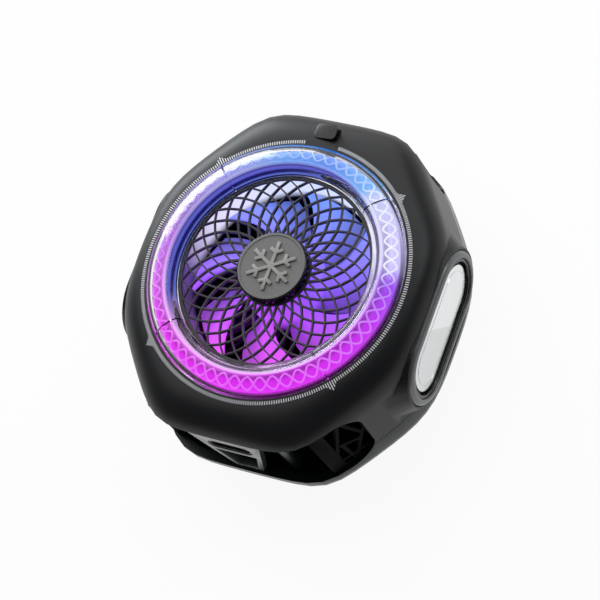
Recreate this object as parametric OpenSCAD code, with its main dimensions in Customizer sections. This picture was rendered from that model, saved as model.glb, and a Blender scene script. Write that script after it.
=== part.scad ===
// Magnetic phone cooler: a thermoelectric cold plate, a finned heat sink and a fan behind a lit ring.
// It lies on its contact face at z = 0. The fan turns about the z axis, the power button is on the +y side.

/* [Body] */
// Width across the side facets
body_x = 62; // [60:0.5:68]
// Length across the top and bottom facets
body_y = 67.6; // [66:0.5:74]
// Width of the top and bottom facets
top_facet = 30.5; // [26:0.5:32]
// Length of the side facets
side_facet = 26.5; // [22:0.5:27]
// Sharpness of the rounded corners, higher is sharper
corner_power = 16; // [12:1:24]
// How far the corner facets flare out towards the rear
corner_flare = 0.4; // [0.2:0.1:0.8]
// Wall of both shells
wall = 1.8; // [1.5:0.1:2.1]
// Drop of the rounded front shoulder
shoulder_h = 6.3; // [5.5:0.1:7]
// Fullness of the shoulder's curve, 2 for an ellipse
shoulder_power = 2.15; // [2:0.05:2.6]
// Rounding of the rear edge
rear_round = 3.2; // [2:0.1:3.6]

/* [Light ring] */
// Land between the ring and the side facets
side_land = 5.2; // [5:0.1:5.8]
// Width of the dome from its outer to its inner edge
dome_w = 6.2; // [5.8:0.1:6.6]
// Distance of the dome's crest from its outer edge
crest_in = 4.2; // [3.6:0.1:4.6]
// Height of the dome above its seat
dome_h = 3.8; // [3:0.1:4.5]
// Wall of the dome
lens_t = 0.8; // [0.7:0.05:1.2]
// Seam between two lens segments
lens_seam = 0.3; // [0.2:0.02:0.4]
// How deep the ring's seat lies under the front face
ring_seat = 0.8; // [0.6:0.1:1]
// Thickness of the light guide's roof
guide_t = 1.8; // [1.4:0.1:2]
// Gap between the light guide's hump and the dome
guide_gap = 0.4; // [0.3:0.05:0.6]
// Number of lights under the guide
light_count = 24; // [16:4:32]
// Side of one light
light_w = 1.6; // [1.2:0.1:1.8]

/* [Fan guard] */
// Number of spiral bars in each direction
guard_bars = 30; // [24:1:32]
// Width of one bar
bar_w = 0.4; // [0.35:0.05:0.6]
// Thickness of the guard
guard_t = 0.7; // [0.6:0.05:1]
// Width of the guard's rim
guard_rim = 0.7; // [0.5:0.05:0.9]
// Radius of the hub cap
cap_r = 7; // [6.5:0.1:7.5]
// Height of the hub cap above the guard
cap_h = 2; // [1.6:0.1:2.4]

/* [Fan] */
// Number of blades
blade_count = 7; // [5:1:9]
// Running gap between blade tips and duct
tip_gap = 0.6; // [0.5:0.05:0.8]
// Outer radius of the impeller hub
hub_r = 8; // [7.8:0.1:8.6]
// Height of the impeller hub
hub_h = 7.1; // [6.6:0.1:7.8]
// Thickness of a blade
blade_t = 0.8; // [0.6:0.05:1]
// How far the blade tips sweep past the roots, in degrees
blade_sweep = 24; // [16:1:30]
// Wall of the duct
duct_t = 1.2; // [1:0.1:1.3]
// Thickness of the fan frame's floor and spokes
frame_t = 1.1; // [0.9:0.1:1.4]
// Gap between the impeller and the guard
guard_gap = 2.6; // [2:0.1:3.2]

/* [Motor] */
// Radius of the shaft
shaft_r = 0.75; // [0.65:0.05:0.9]
// Radial clearance of the shaft in its bearing
bearing_fit = 0.03; // [0.02:0.01:0.06]
// Outer radius of the bearing sleeve
bearing_r = 1.9; // [1.7:0.05:2]
// Wall of the bearing tube
tube_t = 0.8; // [0.6:0.05:0.9]
// Wall of the steel rotor yoke
yoke_t = 0.6; // [0.5:0.05:0.7]
// Radial thickness of the rotor magnet
magnet_t = 0.9; // [0.7:0.05:1]
// Gap between stator and rotor magnet
air_gap = 0.4; // [0.3:0.05:0.5]
// Number of stator teeth
tooth_count = 6; // [4:2:6]

/* [Cooling stack] */
// How far the cold plate's edge lies inside the ring's edge
contact_in = 6.8; // [6.4:0.1:7]
// Thickness of the cold plate
cold_t = 1.9; // [1.7:0.1:2.3]
// Side of the thermoelectric module as a share of the cold plate's width
tec_share = 0.684; // [0.58:0.002:0.69]
// Thickness of the thermoelectric module
tec_t = 3.4; // [3.1:0.1:3.8]
// Thickness of each ceramic plate
ceramic_t = 0.7; // [0.5:0.05:0.9]
// Pellets along one side of the module
pellet_rows = 8; // [6:1:10]
// How far the heat sink's edge lies inside the ring's edge
sink_in = 0.8; // [0.4:0.1:1.8]
// Thickness of the heat sink's base
sink_base_t = 2; // [1.6:0.1:2.4]
// Height of the fins
fin_h = 8; // [7:0.1:9]
// Thickness of a fin
fin_t = 0.7; // [0.5:0.05:0.9]
// Number of fins
fin_count = 36; // [28:4:40]

/* [Magnet ring] */
// How far the magnet tray reaches past the ring's edge
tray_out = 0.8; // [0.4:0.1:1]
// Height of the magnet tray
tray_t = 2.7; // [2.5:0.1:2.9]
// Thickness of the soft grip ring
grip_t = 0.8; // [0.6:0.05:0.9]
// Number of magnets
magnet_count = 16; // [12:2:20]
// Radial width of a magnet
magnet_w = 3.6; // [3:0.1:4]
// Depth of a magnet
magnet_h = 1.7; // [1.4:0.1:1.8]

/* [Air outlets] */
// Drop from the front face to the top of the outlets
outlet_drop = 4.3; // [4:0.1:5]
// Height of the rear shell's rim under the outlets
rim_h = 4.5; // [4:0.1:5]
// Height of the parting line above the rim
parting_lift = 2.5; // [2:0.1:3]
// Distance of the port side's outlet from the side facets
outlet_in = 7.1; // [6.6:0.1:8]
// Distance of the far side's outlet from the side facets
vent_in = 11; // [10.4:0.1:11.6]
// Corner radius of an outlet opening
outlet_corner = 4; // [3:0.25:5]
// Thickness of a truss lattice
lattice_t = 1; // [0.8:0.05:1.1]
// Width of a truss bar
truss_w = 0.9; // [0.6:0.05:1.2]

/* [Side badges] */
// Length of the badge trim
badge_l = 31; // [28:0.5:32]
// Width of the badge trim
badge_w = 16; // [14:0.25:16.5]
// Width of the trim's lip
trim_w = 1.5; // [1.2:0.1:1.8]
// Border of shell around the trim
badge_border = 0.5; // [0.4:0.1:0.8]
// How far the pod's slope runs out past the ends of the badge
pod_slope = 3.4; // [3:0.1:4]
// How deep the pod's slope runs in
pod_depth = 4.2; // [3.6:0.1:4.8]
// How far the pod's border lies under the side facets
pod_sink = 0.35; // [0.2:0.05:0.5]
// How far the trim stands out of the side facets
trim_rise = 0.35; // [0.2:0.05:0.5]
// Rounding of the trim's outer edge
trim_round = 1; // [0.6:0.1:1.2]
// Gap between the trim's lip and the plate
plate_margin = 1.3; // [0.8:0.1:1.6]
// Thickness of the badge plate
plate_t = 0.9; // [0.7:0.05:1]
// Depth of the plate's face under the lip
plate_sink = 0.7; // [0.5:0.05:0.8]

/* [Port] */
// Width of the socket shell
port_w = 8.94; // [8.9:0.02:9]
// Height of the socket shell
port_h = 3.16; // [3.1:0.02:3.2]
// Length of the socket shell
port_l = 7.35; // [6.8:0.05:7.8]
// Wall of the socket shell
port_wall = 0.3; // [0.25:0.01:0.32]
// Drop from the outlet's top to the socket's axis
port_drop = 4.5; // [4.3:0.1:5]
// Half the width of the port frame at its top
frame_top = 7.8; // [7.4:0.1:8.2]
// Half the width of the port frame at its foot
frame_foot = 3; // [2.6:0.1:3.4]
// Width of the port frame's bars
frame_bar = 1.1; // [0.9:0.05:1.3]
// Depth of the outlet frames as a share of the land between ring and edge
frame_share = 0.2; // [0.16:0.01:0.22]
// Thickness of the circuit boards
board_t = 0.8; // [0.6:0.05:1]

/* [Power button] */
// Width of the button
button_w = 4.8; // [4.2:0.1:5.2]
// Depth of the button as a share of the land between ring and edge
button_share = 0.38; // [0.33:0.01:0.4]
// Place of the button on that land, as a share from the ring outwards
button_place = 0.43; // [0.4:0.01:0.46]
// How far the button stands out of the shell
button_h = 1.3; // [0.9:0.1:1.6]
// Travel of the button
button_travel = 0.4; // [0.3:0.05:0.45]

/* [Screws] */
// Shank radius of the housing screws
screw_r = 0.85; // [0.7:0.05:1]
// Head radius of the housing screws
screw_head_r = 1.7; // [1.5:0.05:1.8]
// Distance of the housing screws from the inside of the wall
screw_in = 1.4; // [1.3:0.05:1.6]
// Distance of the fan screws from the heat sink's edge
fan_screw_in = 2.8; // [2.4:0.1:3]

/* [Clearances] */
// Gap between pieces that are assembled together
fit = 0.1; // [0.06:0.01:0.14]
// Gap between pieces that move
run_gap = 0.3; // [0.2:0.02:0.4]

/* [Hidden] */
// The stack of heights from the contact face up
rear_z = grip_t + tray_t;
sink_z = cold_t + tec_t;
fin_z = sink_z + sink_base_t;
frame_z = fin_z + fin_h;
motor_z = frame_z + frame_t;
rotor_z = motor_z + board_t + run_gap;
rotor_top = rotor_z + hub_h;
guard_z = rotor_top + guard_gap;
face_z = guard_z + ring_seat;
outlet_top = face_z - outlet_drop;
outlet_reach = body_x / 2 - outlet_in;
vent_reach = body_x / 2 - vent_in;
outlet_low = rear_z + rim_h;
parting_z = outlet_low + parting_lift;
badge_z = (face_z + rear_z) / 2;
pod_low = badge_z - badge_w / 2 - badge_border;
pod_x = body_x / 2 - pod_sink;

// Radii of the round pieces
ring_r = min(body_x, body_y) / 2 - side_land;
crest_r = ring_r - crest_in;
open_r = ring_r + fit;
skirt_t = 1.2;
skirt_r = open_r + skirt_t;
lens_in = ring_r - dome_w;
guard_r = lens_in - fit;
duct_r = guard_r - duct_t / 2;
duct_out = duct_r + duct_t;
tip_r = duct_r - tip_gap;
contact_r = ring_r - contact_in;
tec_w = 2 * contact_r * tec_share;
sink_r = ring_r - sink_in;
fan_screw_ring = sink_r - fan_screw_in;
tray_r = ring_r + tray_out;
land = body_y / 2 - open_r;
button_y = open_r + land * button_place;
button_d = land * button_share;
frame_d = land * frame_share;
light_out = ring_r - 2 * fit;
light_in = duct_out + 2 * fit;
tube_r = bearing_r + tube_t;
yoke_r = hub_r - 1;
magnet_r = yoke_r - yoke_t;
stator_r = magnet_r - magnet_t - air_gap;

// Heights inside the light ring
flange_t = 0.8;
guide_z = guard_z - guide_t;
light_h = 0.6;
light_board_z = guide_z - light_h - fit - board_t;
flange_z = light_board_z - flange_t;
shell_top_t = 2.2;
skirt_z = light_board_z;

// Corner facets of the body
corner_dx = (body_x - top_facet) / 2;
corner_dy = (body_y - side_facet) / 2;
corner_angle = atan2(corner_dx, corner_dy);
corner_reach = (top_facet / 2) * cos(corner_angle) + (body_y / 2) * sin(corner_angle);

// Steps round the body and along its shoulder
turns = 72;
shoulder_steps = 9;
inner_steps = 5;

// Distance from the axis to the body's outline, at an angle, drawn in by an inset
function facets(inset, flare) = [
    for (quarter = [0, 180])
        each [
            [quarter, body_x / 2 - inset],
            [quarter + corner_angle, corner_reach + flare - inset],
            [quarter + 90, body_y / 2 - inset],
            [quarter + 180 - corner_angle, corner_reach + flare - inset]
        ]
];
function total(list, at = 0) = at >= len(list) ? 0 : list[at] + total(list, at + 1);
function outline_r(angle, inset = 0, flare = 0) =
    pow(total([for (f = facets(inset, flare)) pow(max(0, cos(angle - f[0]) / f[1]), corner_power)]), -1 / corner_power);
function mix(a, b, share) = a + (b - a) * share;

// How far the corners have flared at a height
function flare_at(z) = corner_flare * max(0, min(1, (face_z - shoulder_h - z) / (face_z - shoulder_h - outlet_low)));
function turn_angle(i) = 360 * i / turns;
function outline_loop(z, inset, flare) = [
    for (i = [0 : turns - 1])
        let (a = turn_angle(i), r = outline_r(a, inset, flare)) [r * cos(a), r * sin(a), z]
];
function round_loop(z, r) = [for (i = [0 : turns - 1]) [r * cos(turn_angle(i)), r * sin(turn_angle(i)), z]];

// Loop on a shoulder that rounds from a circle out to the outline
function full(share) = pow(max(0, share), 2 / shoulder_power);
function fall(share) = 1 - pow(max(0.01, 1 - pow(share, shoulder_power)), 1 / shoulder_power);
function shoulder_loop(step, steps, inner_r, top_z, drop, inset) =
    let (t = 90 * step / steps) [
        for (i = [0 : turns - 1])
            let (a = turn_angle(i), r = mix(inner_r, outline_r(a, inset), full(sin(t))))
                [r * cos(a), r * sin(a), top_z - drop * (1 - full(cos(t)))]
    ];

// Skin between two loops, each a triangle pair
function band(lower, upper, count) = [
    for (i = [0 : count - 1])
        let (j = (i + 1) % count)
            each [
                [lower * count + i, upper * count + i, lower * count + j],
                [lower * count + j, upper * count + i, upper * count + j]
            ]
];

// A ring-shaped solid whose closed section runs through all loops
module ring_loft(loops) {
    count = len(loops[0]);
    polyhedron(
        points = [for (loop = loops) each loop],
        faces = [for (k = [0 : len(loops) - 1]) each band(k, (k + 1) % len(loops), count)]
    );
}

// A closed solid through a stack of loops, from the lowest up
module stack_loft(loops) {
    count = len(loops[0]);
    last = len(loops) - 1;
    polyhedron(
        points = [for (loop = loops) each loop],
        faces = concat(
            [[for (i = [0 : count - 1]) i]],
            [for (k = [0 : last - 1]) each band(k, k + 1, count)],
            [[for (i = [count - 1 : -1 : 0]) last * count + i]]
        )
    );
}

module outline_2d(inset, flare = 0) {
    polygon([for (p = outline_loop(0, inset, flare)) [p[0], p[1]]]);
}

module ring(r_out, r_in, h, z) {
    translate([0, 0, z])
        difference() {
            cylinder(r = r_out, h = h, $fn = 96);
            translate([0, 0, -1])
                cylinder(r = r_in, h = h + 2, $fn = 96);
        }
}

module pill_2d(l, w) {
    square([l - w, w], center = true);
    for (side = [-1, 1])
        translate([side * (l - w) / 2, 0])
            circle(d = w, $fn = 48);
}

// A pill along y, standing on a plane square to x
module pill(l, w, x_from, x_to) {
    translate([x_from, 0, badge_z])
        rotate([90, 0, 90])
            linear_extrude(x_to - x_from)
                pill_2d(l, w);
}

module rounded_2d(w, h, r) {
    square([w - 2 * r, h], center = true);
    square([w, h - 2 * r], center = true);
    for (sx = [-1, 1], sy = [-1, 1])
        translate([sx * (w / 2 - r), sy * (h / 2 - r)])
            circle(r = r, $fn = 32);
}

module both_sides() {
    children();
    mirror([1, 0, 0])
        children();
}

module four_corners() {
    both_sides() {
        children();
        mirror([0, 1, 0])
            children();
    }
}

// The opening of the top and bottom outlets, through both shells
outlet_depth = 14;
module outlet_cut(gap = 0) {
    for (side = [0, 180])
        let (reach = side == 0 ? outlet_reach : vent_reach)
            rotate(side)
                translate([0, -body_y / 2 - 1, (outlet_low + outlet_top - gap) / 2])
                    rotate([-90, 0, 0])
                        linear_extrude(outlet_depth)
                            rounded_2d(2 * reach - 2 * gap, outlet_top - outlet_low - gap, outlet_corner + gap);
}

// Places of the housing screws, in the corners beside the side cheeks
boss_angle = 30;
boss_r = 2.2;
boss_low = sink_z + 1.7;
boss_top = face_z - shoulder_h + 1.6;
screw_bite = 8;
screw_tip = 0.5;
boss_ring = outline_r(boss_angle, wall) - screw_in;
boss_at = [boss_ring * cos(boss_angle), boss_ring * sin(boss_angle)];

// Places of the button's pieces
button_at_r = (button_y - open_r) / (body_y / 2 - open_r);
button_surface_z = face_z - shoulder_h * fall(button_at_r);
button_top_z = button_surface_z + button_h;
button_flange_t = 0.6;
button_inner_r = (button_y + button_d / 2 - skirt_r) / (body_y / 2 - wall - skirt_r);
button_inner_z = face_z - shell_top_t - (shoulder_h - shell_top_t) * fall(button_inner_r);
button_low_z = button_inner_z - button_flange_t - fit;
switch_gap = button_travel + fit;
plunger_h = 0.5;
switch_h = 1.2;
switch_top_z = button_low_z - switch_gap;
button_board_z = switch_top_z - plunger_h - switch_h - board_t;
flex_t = 0.2;
button_board_d = button_d + 2 * flex_t;
button_post_r = 0.9;
button_post_out = 2.2;
button_post_x = button_w / 2 + button_post_out;
button_post_back = 0.6;

// Slope that leads from the shoulder up to a badge's rim
module pod_blend() {
    skin = 0.1;
    low_x = pod_x - pod_depth;
    rim_w = badge_w + 2 * badge_border;
    intersection() {
        hull() {
            pill(badge_l + 2 * badge_border, rim_w, pod_x - skin, pod_x);
            pill(badge_l + 2 * pod_slope, rim_w, low_x - skin, low_x);
        }
        translate([0, -body_y, parting_z])
            cube([body_x, 2 * body_y, body_y]);
    }
}

module front_shell() {
    top_in = face_z - shell_top_t;
    drop_in = shoulder_h - shell_top_t;
    low_flare = flare_at(pod_low);
    outer = concat(
        [for (k = [0 : shoulder_steps]) shoulder_loop(k, shoulder_steps, open_r, face_z, shoulder_h, 0)],
        [outline_loop(pod_low, 0, low_flare), outline_loop(pod_low, wall, low_flare)]
    );
    inner = concat(
        [for (k = [inner_steps : -1 : 0]) shoulder_loop(k, inner_steps, skirt_r, top_in, drop_in, wall)],
        [round_loop(skirt_z, skirt_r), round_loop(skirt_z, open_r)]
    );
    color([0.09, 0.09, 0.1])
        difference() {
            union() {
                difference() {
                    ring_loft(reversed(concat(outer, inner)));
                    translate([0, 0, parting_z - body_y])
                        cube([2 * body_x, 2 * body_y, 2 * body_y], center = true);
                    outlet_cut();
                }
                both_sides() {
                    pill(badge_l + 2 * badge_border, badge_w + 2 * badge_border, body_x / 2 - 2 * wall, pod_x);
                    pod_blend();
                }
                four_corners()
                    translate([boss_at[0], boss_at[1], boss_low + fit])
                        cylinder(r = boss_r, h = boss_top - boss_low - fit, $fn = 32);
                both_sides()
                    translate([button_post_x, button_y - button_post_back, button_board_z + board_t])
                        cylinder(r = button_post_r, h = face_z - shell_top_t - button_board_z - board_t + 0.2, $fn = 24);
            }
            both_sides()
                pill(badge_l + 2 * fit, badge_w + 2 * fit, body_x / 2 - 3 * wall, body_x / 2 + wall);
            four_corners()
                translate([boss_at[0], boss_at[1], boss_low])
                    cylinder(r = screw_r, h = screw_bite, $fn = 24);
            translate([0, button_y, face_z - shoulder_h])
                linear_extrude(2 * shoulder_h)
                    rounded_2d(button_w + 2 * fit, button_d + 2 * fit, 0.8 + fit);
        }
}

// Posts that carry the main board
board_post_x = 8.5;
board_post_r = 1.5;
board_screw_r = 0.6;
board_screw_l = 4;
board_head_r = 1.2;
board_head_h = 0.7;
board_z = outlet_top - port_drop - port_h / 2 - board_t;
board_post_y = -body_y / 2 + wall + board_post_r + 1;

module rear_shell() {
    rim_flare = flare_at(outlet_low);
    steps = 4;
    round_loops = [
        for (k = [0 : steps])
            let (t = 90 * k / steps)
                outline_loop(rear_z + rear_round * (1 - cos(t)), rear_round * (1 - sin(t)), rim_flare)
    ];
    color([0.2, 0.24, 0.24])
        difference() {
            union() {
                difference() {
                    stack_loft(concat(round_loops, [outline_loop(parting_z - fit, 0, flare_at(parting_z))]));
                    translate([0, 0, sink_z])
                        linear_extrude(body_y)
                            outline_2d(wall, flare_at(parting_z));
                    outlet_cut();
                    both_sides()
                        pill(badge_l + 2 * badge_border + 2 * fit, badge_w + 2 * badge_border + 2 * fit,
                            body_x / 2 - 5, body_x / 2 + 5);
                }
                four_corners()
                    translate([boss_at[0], boss_at[1], sink_z - 0.2])
                        cylinder(r = boss_r, h = boss_low - sink_z + 0.2, $fn = 32);
                both_sides()
                    translate([board_post_x, board_post_y, sink_z - 0.2])
                        cylinder(r = board_post_r, h = board_z - sink_z + 0.2, $fn = 24);
            }
            cylinder(r = contact_r + 4 * fit, h = body_y, $fn = 96);
            four_corners()
                translate([boss_at[0], boss_at[1], 0]) {
                    translate([0, 0, boss_low])
                        cylinder(r = boss_r + fit, h = body_y, $fn = 32);
                    translate([0, 0, rear_z - 1]) {
                        cylinder(r = screw_r + fit, h = body_y, $fn = 24);
                        cylinder(r = screw_head_r + fit, h = 1 + screw_head_h + fit, $fn = 32);
                    }
                }
            both_sides()
                translate([board_post_x, board_post_y, board_z - board_screw_l - 2 * fit])
                    cylinder(r = board_screw_r, h = board_screw_l + wall, $fn = 24);
            translate([-lead_slot_w / 2, -lead_y, rear_z - 1])
                cube([lead_slot_w, lead_y - contact_r + 1, tec_t + 2]);
        }
}

// One quarter of the clear dome ring, round its middle angle
dome_steps = 8;
rim_step = ring_seat;
inner_lip = 1.45;
function dome_arc(r_from, z_from, r_crest, z_crest, steps) = [
    for (k = [0 : steps])
        let (t = 90 * k / steps) [mix(r_from, r_crest, 1 - cos(t)), mix(z_from, z_crest, sin(t))]
];
function reversed(list) = [for (k = [len(list) - 1 : -1 : 0]) list[k]];

module lens(middle) {
    crest_z = guard_z + dome_h;
    outer = concat(
        dome_arc(ring_r, guard_z + rim_step, crest_r, crest_z, dome_steps),
        reversed(dome_arc(lens_in, guard_z + inner_lip, crest_r, crest_z, dome_steps / 2))
    );
    under = concat(
        dome_arc(lens_in + lens_t, guard_z, crest_r, crest_z - lens_t, dome_steps / 2),
        reversed(dome_arc(ring_r - lens_t, guard_z, crest_r, crest_z - lens_t, dome_steps))
    );
    half_seam = lens_seam / ring_r * 90 / PI;
    color([0.75, 0.7, 0.95, 0.5])
        rotate(middle - 45 + half_seam)
            rotate_extrude(angle = 90 - 2 * half_seam, $fn = 96)
                polygon(concat([[ring_r, guard_z]], outer, [[lens_in, guard_z]], under));
}

module lens_right() {
    lens(0);
}

module lens_top() {
    lens(90);
}

module lens_left() {
    lens(180);
}

module lens_bottom() {
    lens(270);
}

// Inverted channel that spreads the light, standing on the light board
guide_leg = 0.6;
module light_guide() {
    legs_z = light_board_z + board_t;
    hump_z = guard_z + dome_h - lens_t - guide_gap;
    hump_out = ring_r - lens_t - guide_gap / 2;
    hump_in = lens_in + lens_t + guide_gap / 2;
    hump = concat(
        dome_arc(hump_out, guard_z, crest_r, hump_z, dome_steps),
        reversed(dome_arc(hump_in, guard_z, crest_r, hump_z, dome_steps / 2))
    );
    color([0.85, 0.75, 1])
        rotate_extrude($fn = 96)
            polygon(concat([
                [light_in, legs_z], [light_in + guide_leg, legs_z], [light_in + guide_leg, guide_z],
                [light_out - guide_leg, guide_z], [light_out - guide_leg, legs_z], [light_out, legs_z],
                [light_out, guard_z]
            ], hump, [[light_in, guard_z]]));
}

module led_board() {
    color([0.1, 0.3, 0.16])
        ring(light_out, light_in, board_t, light_board_z);
}

module leds() {
    color([1, 0.97, 0.85])
        for (i = [0 : light_count - 1])
            rotate((i + 0.5) * 360 / light_count)
                translate([(light_in + light_out) / 2, 0, light_board_z + board_t + light_h / 2])
                    cube([light_w, light_w, light_h], center = true);
}

// Flat flex from the light board down to the main board
flex_w = 4;
flex_r = sqrt(light_out * light_out - flex_w * flex_w / 4) - flex_t;
led_flex_x = port_w / 2 + 1;
led_flex_y = -(light_in + light_out) / 2;
module led_flex(gap = 0) {
    color([0.8, 0.5, 0.15])
        translate([led_flex_x - gap, led_flex_y - gap, board_z + board_t])
            cube([flex_w + 2 * gap, flex_t + 2 * gap, light_board_z - board_z - board_t + gap]);
}

// Angle that a guard bar has turned through at a radius
bar_circle = guard_r * 1.149;
bar_out = guard_r - guard_rim;
bar_in = cap_r + 0.2;
function bar_turn(r) = asin(r / bar_circle);
function bar_radius(turn) = bar_circle * sin(turn);
guard_step = 180 / guard_bars;
guard_levels = round((bar_turn(bar_out) - bar_turn(bar_in)) / guard_step);
level_turn = (bar_turn(bar_out) - bar_turn(bar_in)) / guard_levels;
function guard_point(level, angle) =
    let (r = bar_radius(bar_turn(bar_out) - level * level_turn)) [r * cos(angle), r * sin(angle)];

// A cell between four bars, drawn in by half a bar on each side
function guard_cell(level, angle) =
    let (
        r = bar_radius(bar_turn(bar_out) - level * level_turn),
        inset = bar_w / (2 * r * sin(guard_step)),
        top = max(0, level - 1) == level ? level : level - 1 + inset,
        low = level == guard_levels ? level : level + 1 - inset,
        half = guard_step * (1 - inset)
    ) [
        guard_point(top, angle), guard_point(level, angle - half),
        guard_point(low, angle), guard_point(level, angle + half)
    ];

module fan_guard() {
    color([0.12, 0.11, 0.14])
        translate([0, 0, guard_z])
            linear_extrude(guard_t)
                difference() {
                    circle(r = guard_r, $fn = 96);
                    for (level = [0 : guard_levels], i = [0 : guard_bars - 1])
                        polygon(guard_cell(level, i * 2 * guard_step + (level % 2) * guard_step));
                }
}

cap_bevel = 0.6;
cap_foot = 0.3;
module hub_cap() {
    z = guard_z + guard_t;
    color([0.4, 0.4, 0.42])
        rotate_extrude($fn = 96)
            polygon([
                [0, z], [cap_r - cap_foot, z], [cap_r, z + cap_foot], [cap_r, z + cap_h - cap_bevel],
                [cap_r - cap_bevel, z + cap_h], [0, z + cap_h]
            ]);
}

// Six-armed snow crystal raised on the cap
emblem_arms = 6;
emblem_h = 0.25;
arm_w = 0.7;
twig_l = 1.5;
module hub_emblem() {
    arm_l = cap_r - cap_bevel - 1.4;
    color([0.55, 0.55, 0.57])
        translate([0, 0, guard_z + guard_t + cap_h])
            linear_extrude(emblem_h)
                for (i = [0 : emblem_arms - 1])
                    rotate(90 + i * 360 / emblem_arms) {
                        translate([0, -arm_w / 2])
                            square([arm_l, arm_w]);
                        for (side = [-1, 1])
                            translate([arm_l * 0.55, 0])
                                rotate(side * 60)
                                    translate([0, -arm_w / 2])
                                        square([twig_l, arm_w]);
                    }
}

// A wedge that rises towards +x, with a flange that keeps it in the shell
button_slope = 0.9;
module power_button() {
    flange = 0.5;
    color([0.05, 0.05, 0.06])
        difference() {
            union() {
                translate([0, button_y, button_low_z])
                    linear_extrude(button_top_z - button_low_z)
                        rounded_2d(button_w, button_d, 0.8);
                translate([0, button_y, button_low_z])
                    linear_extrude(button_flange_t - fit)
                        rounded_2d(button_w + 2 * flange, button_d, 0.8);
            }
            translate([-button_w / 2, button_y, button_top_z - button_slope])
                rotate([0, -atan2(button_slope, button_w), 0])
                    translate([-button_w, -button_w, 0])
                        cube([3 * button_w, 2 * button_w, 4]);
        }
}

switch_w = 3.4;
switch_d = button_d * 0.86;
module button_switch() {
    color([0.25, 0.25, 0.27])
        translate([0, button_y, button_board_z + board_t]) {
            translate([-switch_w / 2, -switch_d / 2, 0])
                cube([switch_w, switch_d, switch_h]);
            cylinder(r = 0.8, h = switch_h + plunger_h, $fn = 24);
        }
}

module button_board() {
    color([0.1, 0.3, 0.16])
        translate([-button_post_x - button_post_r, button_y - button_d / 2 - flex_t, button_board_z])
            cube([2 * button_post_x + 2 * button_post_r, button_board_d, board_t]);
}

// Flat flex from the button board to the edge of the light board
module button_flex() {
    z = button_board_z + board_t;
    color([0.8, 0.5, 0.15])
        translate([flex_w / 2, 0, 0])
            rotate([90, 0, -90])
                linear_extrude(flex_w)
                    polygon([
                        [-button_y + switch_d / 2 + fit, z], [-button_y + switch_d / 2 + fit, z + flex_t],
                        [-flex_r, z + flex_t], [-flex_r, light_board_z],
                        [-flex_r + flex_t, light_board_z], [-flex_r + flex_t, z]
                    ]);
}

// Badge pieces, drawn for the right side
trim_x = body_x / 2 + trim_rise;
trim_steps = 3;
seat_x = trim_x - plate_sink - plate_t;
seat_t = 0.8;
module badge_seat() {
    color([0.04, 0.04, 0.04])
        difference() {
            pill(badge_l - 2 * trim_w, badge_w - 2 * trim_w, seat_x - seat_t, trim_x - plate_sink / 2);
            pill(badge_l - 2 * trim_w - plate_margin, badge_w - 2 * trim_w - plate_margin, seat_x, trim_x + 1);
        }
}

module badge_trim() {
    color([0.5, 0.5, 0.52])
        difference() {
            hull()
                for (k = [0 : trim_steps])
                    let (t = 90 * k / trim_steps, inset = 2 * trim_round * (1 - cos(t)))
                        pill(badge_l - inset, badge_w - inset, seat_x - seat_t, trim_x - trim_round * (1 - sin(t)));
            pill(badge_l - 2 * trim_w + fit, badge_w - 2 * trim_w + fit, seat_x - seat_t - 1, trim_x + 1);
        }
}

module badge_plate() {
    inset = 2 * trim_w + 2 * plate_margin;
    color([0.86, 0.86, 0.87])
        pill(badge_l - inset, badge_w - inset, seat_x, seat_x + plate_t);
}

module badge_seat_right() {
    badge_seat();
}

module badge_seat_left() {
    mirror([1, 0, 0])
        badge_seat();
}

module badge_trim_right() {
    badge_trim();
}

module badge_trim_left() {
    mirror([1, 0, 0])
        badge_trim();
}

module badge_plate_right() {
    badge_plate();
}

module badge_plate_left() {
    mirror([1, 0, 0])
        badge_plate();
}

// Trapezoid frame in the middle of an outlet, standing on the rear shell's rim
frame_y = body_y / 2 - 0.6;
frame_h = outlet_top - outlet_low - 2 * fit;
port_z = outlet_top - port_drop;
slot_fit = 0.15;
function frame_half(z) = mix(frame_foot, frame_top, (z - outlet_low) / frame_h);
module outlet_frame(y, with_port) {
    bar_z = port_z - port_h / 2 - slot_fit - frame_bar;
    low_z = outlet_low + frame_bar;
    color([0.5, 0.53, 0.53])
        translate([0, y + frame_d / 2, 0])
            rotate([90, 0, 0])
                linear_extrude(frame_d)
                    difference() {
                        polygon([
                            [-frame_half(outlet_low), outlet_low], [frame_half(outlet_low), outlet_low],
                            [frame_top, outlet_low + frame_h], [-frame_top, outlet_low + frame_h]
                        ]);
                        polygon([
                            [frame_bar - frame_half(low_z), low_z], [frame_half(low_z) - frame_bar, low_z],
                            [frame_half(bar_z) - frame_bar, bar_z], [frame_bar - frame_half(bar_z), bar_z]
                        ]);
                        translate([0, port_z])
                            if (with_port)
                                pill_2d(port_w + 2 * slot_fit, port_h + 2 * slot_fit);
                            else
                                square([port_w, port_h], center = true);
                    }
}

module port_frame() {
    outlet_frame(-frame_y + frame_d / 2, true);
}

module vent_frame() {
    outlet_frame(frame_y - frame_d / 2, false);
}

// Truss lattice in a corner outlet, in the plane of the corner facet, drawn for +x +y
lattice_sink = 0.7;
lattice_stop = 3;
lattice_out = corner_reach - lattice_sink;
lattice_to = (top_facet / 2 - lattice_out * cos(corner_angle)) / -sin(corner_angle);
port_plate = 3;
vent_plate = 0.8;
function lattice_from(reach) = (reach - lattice_out * cos(corner_angle)) / -sin(corner_angle) + 0.5;
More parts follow.
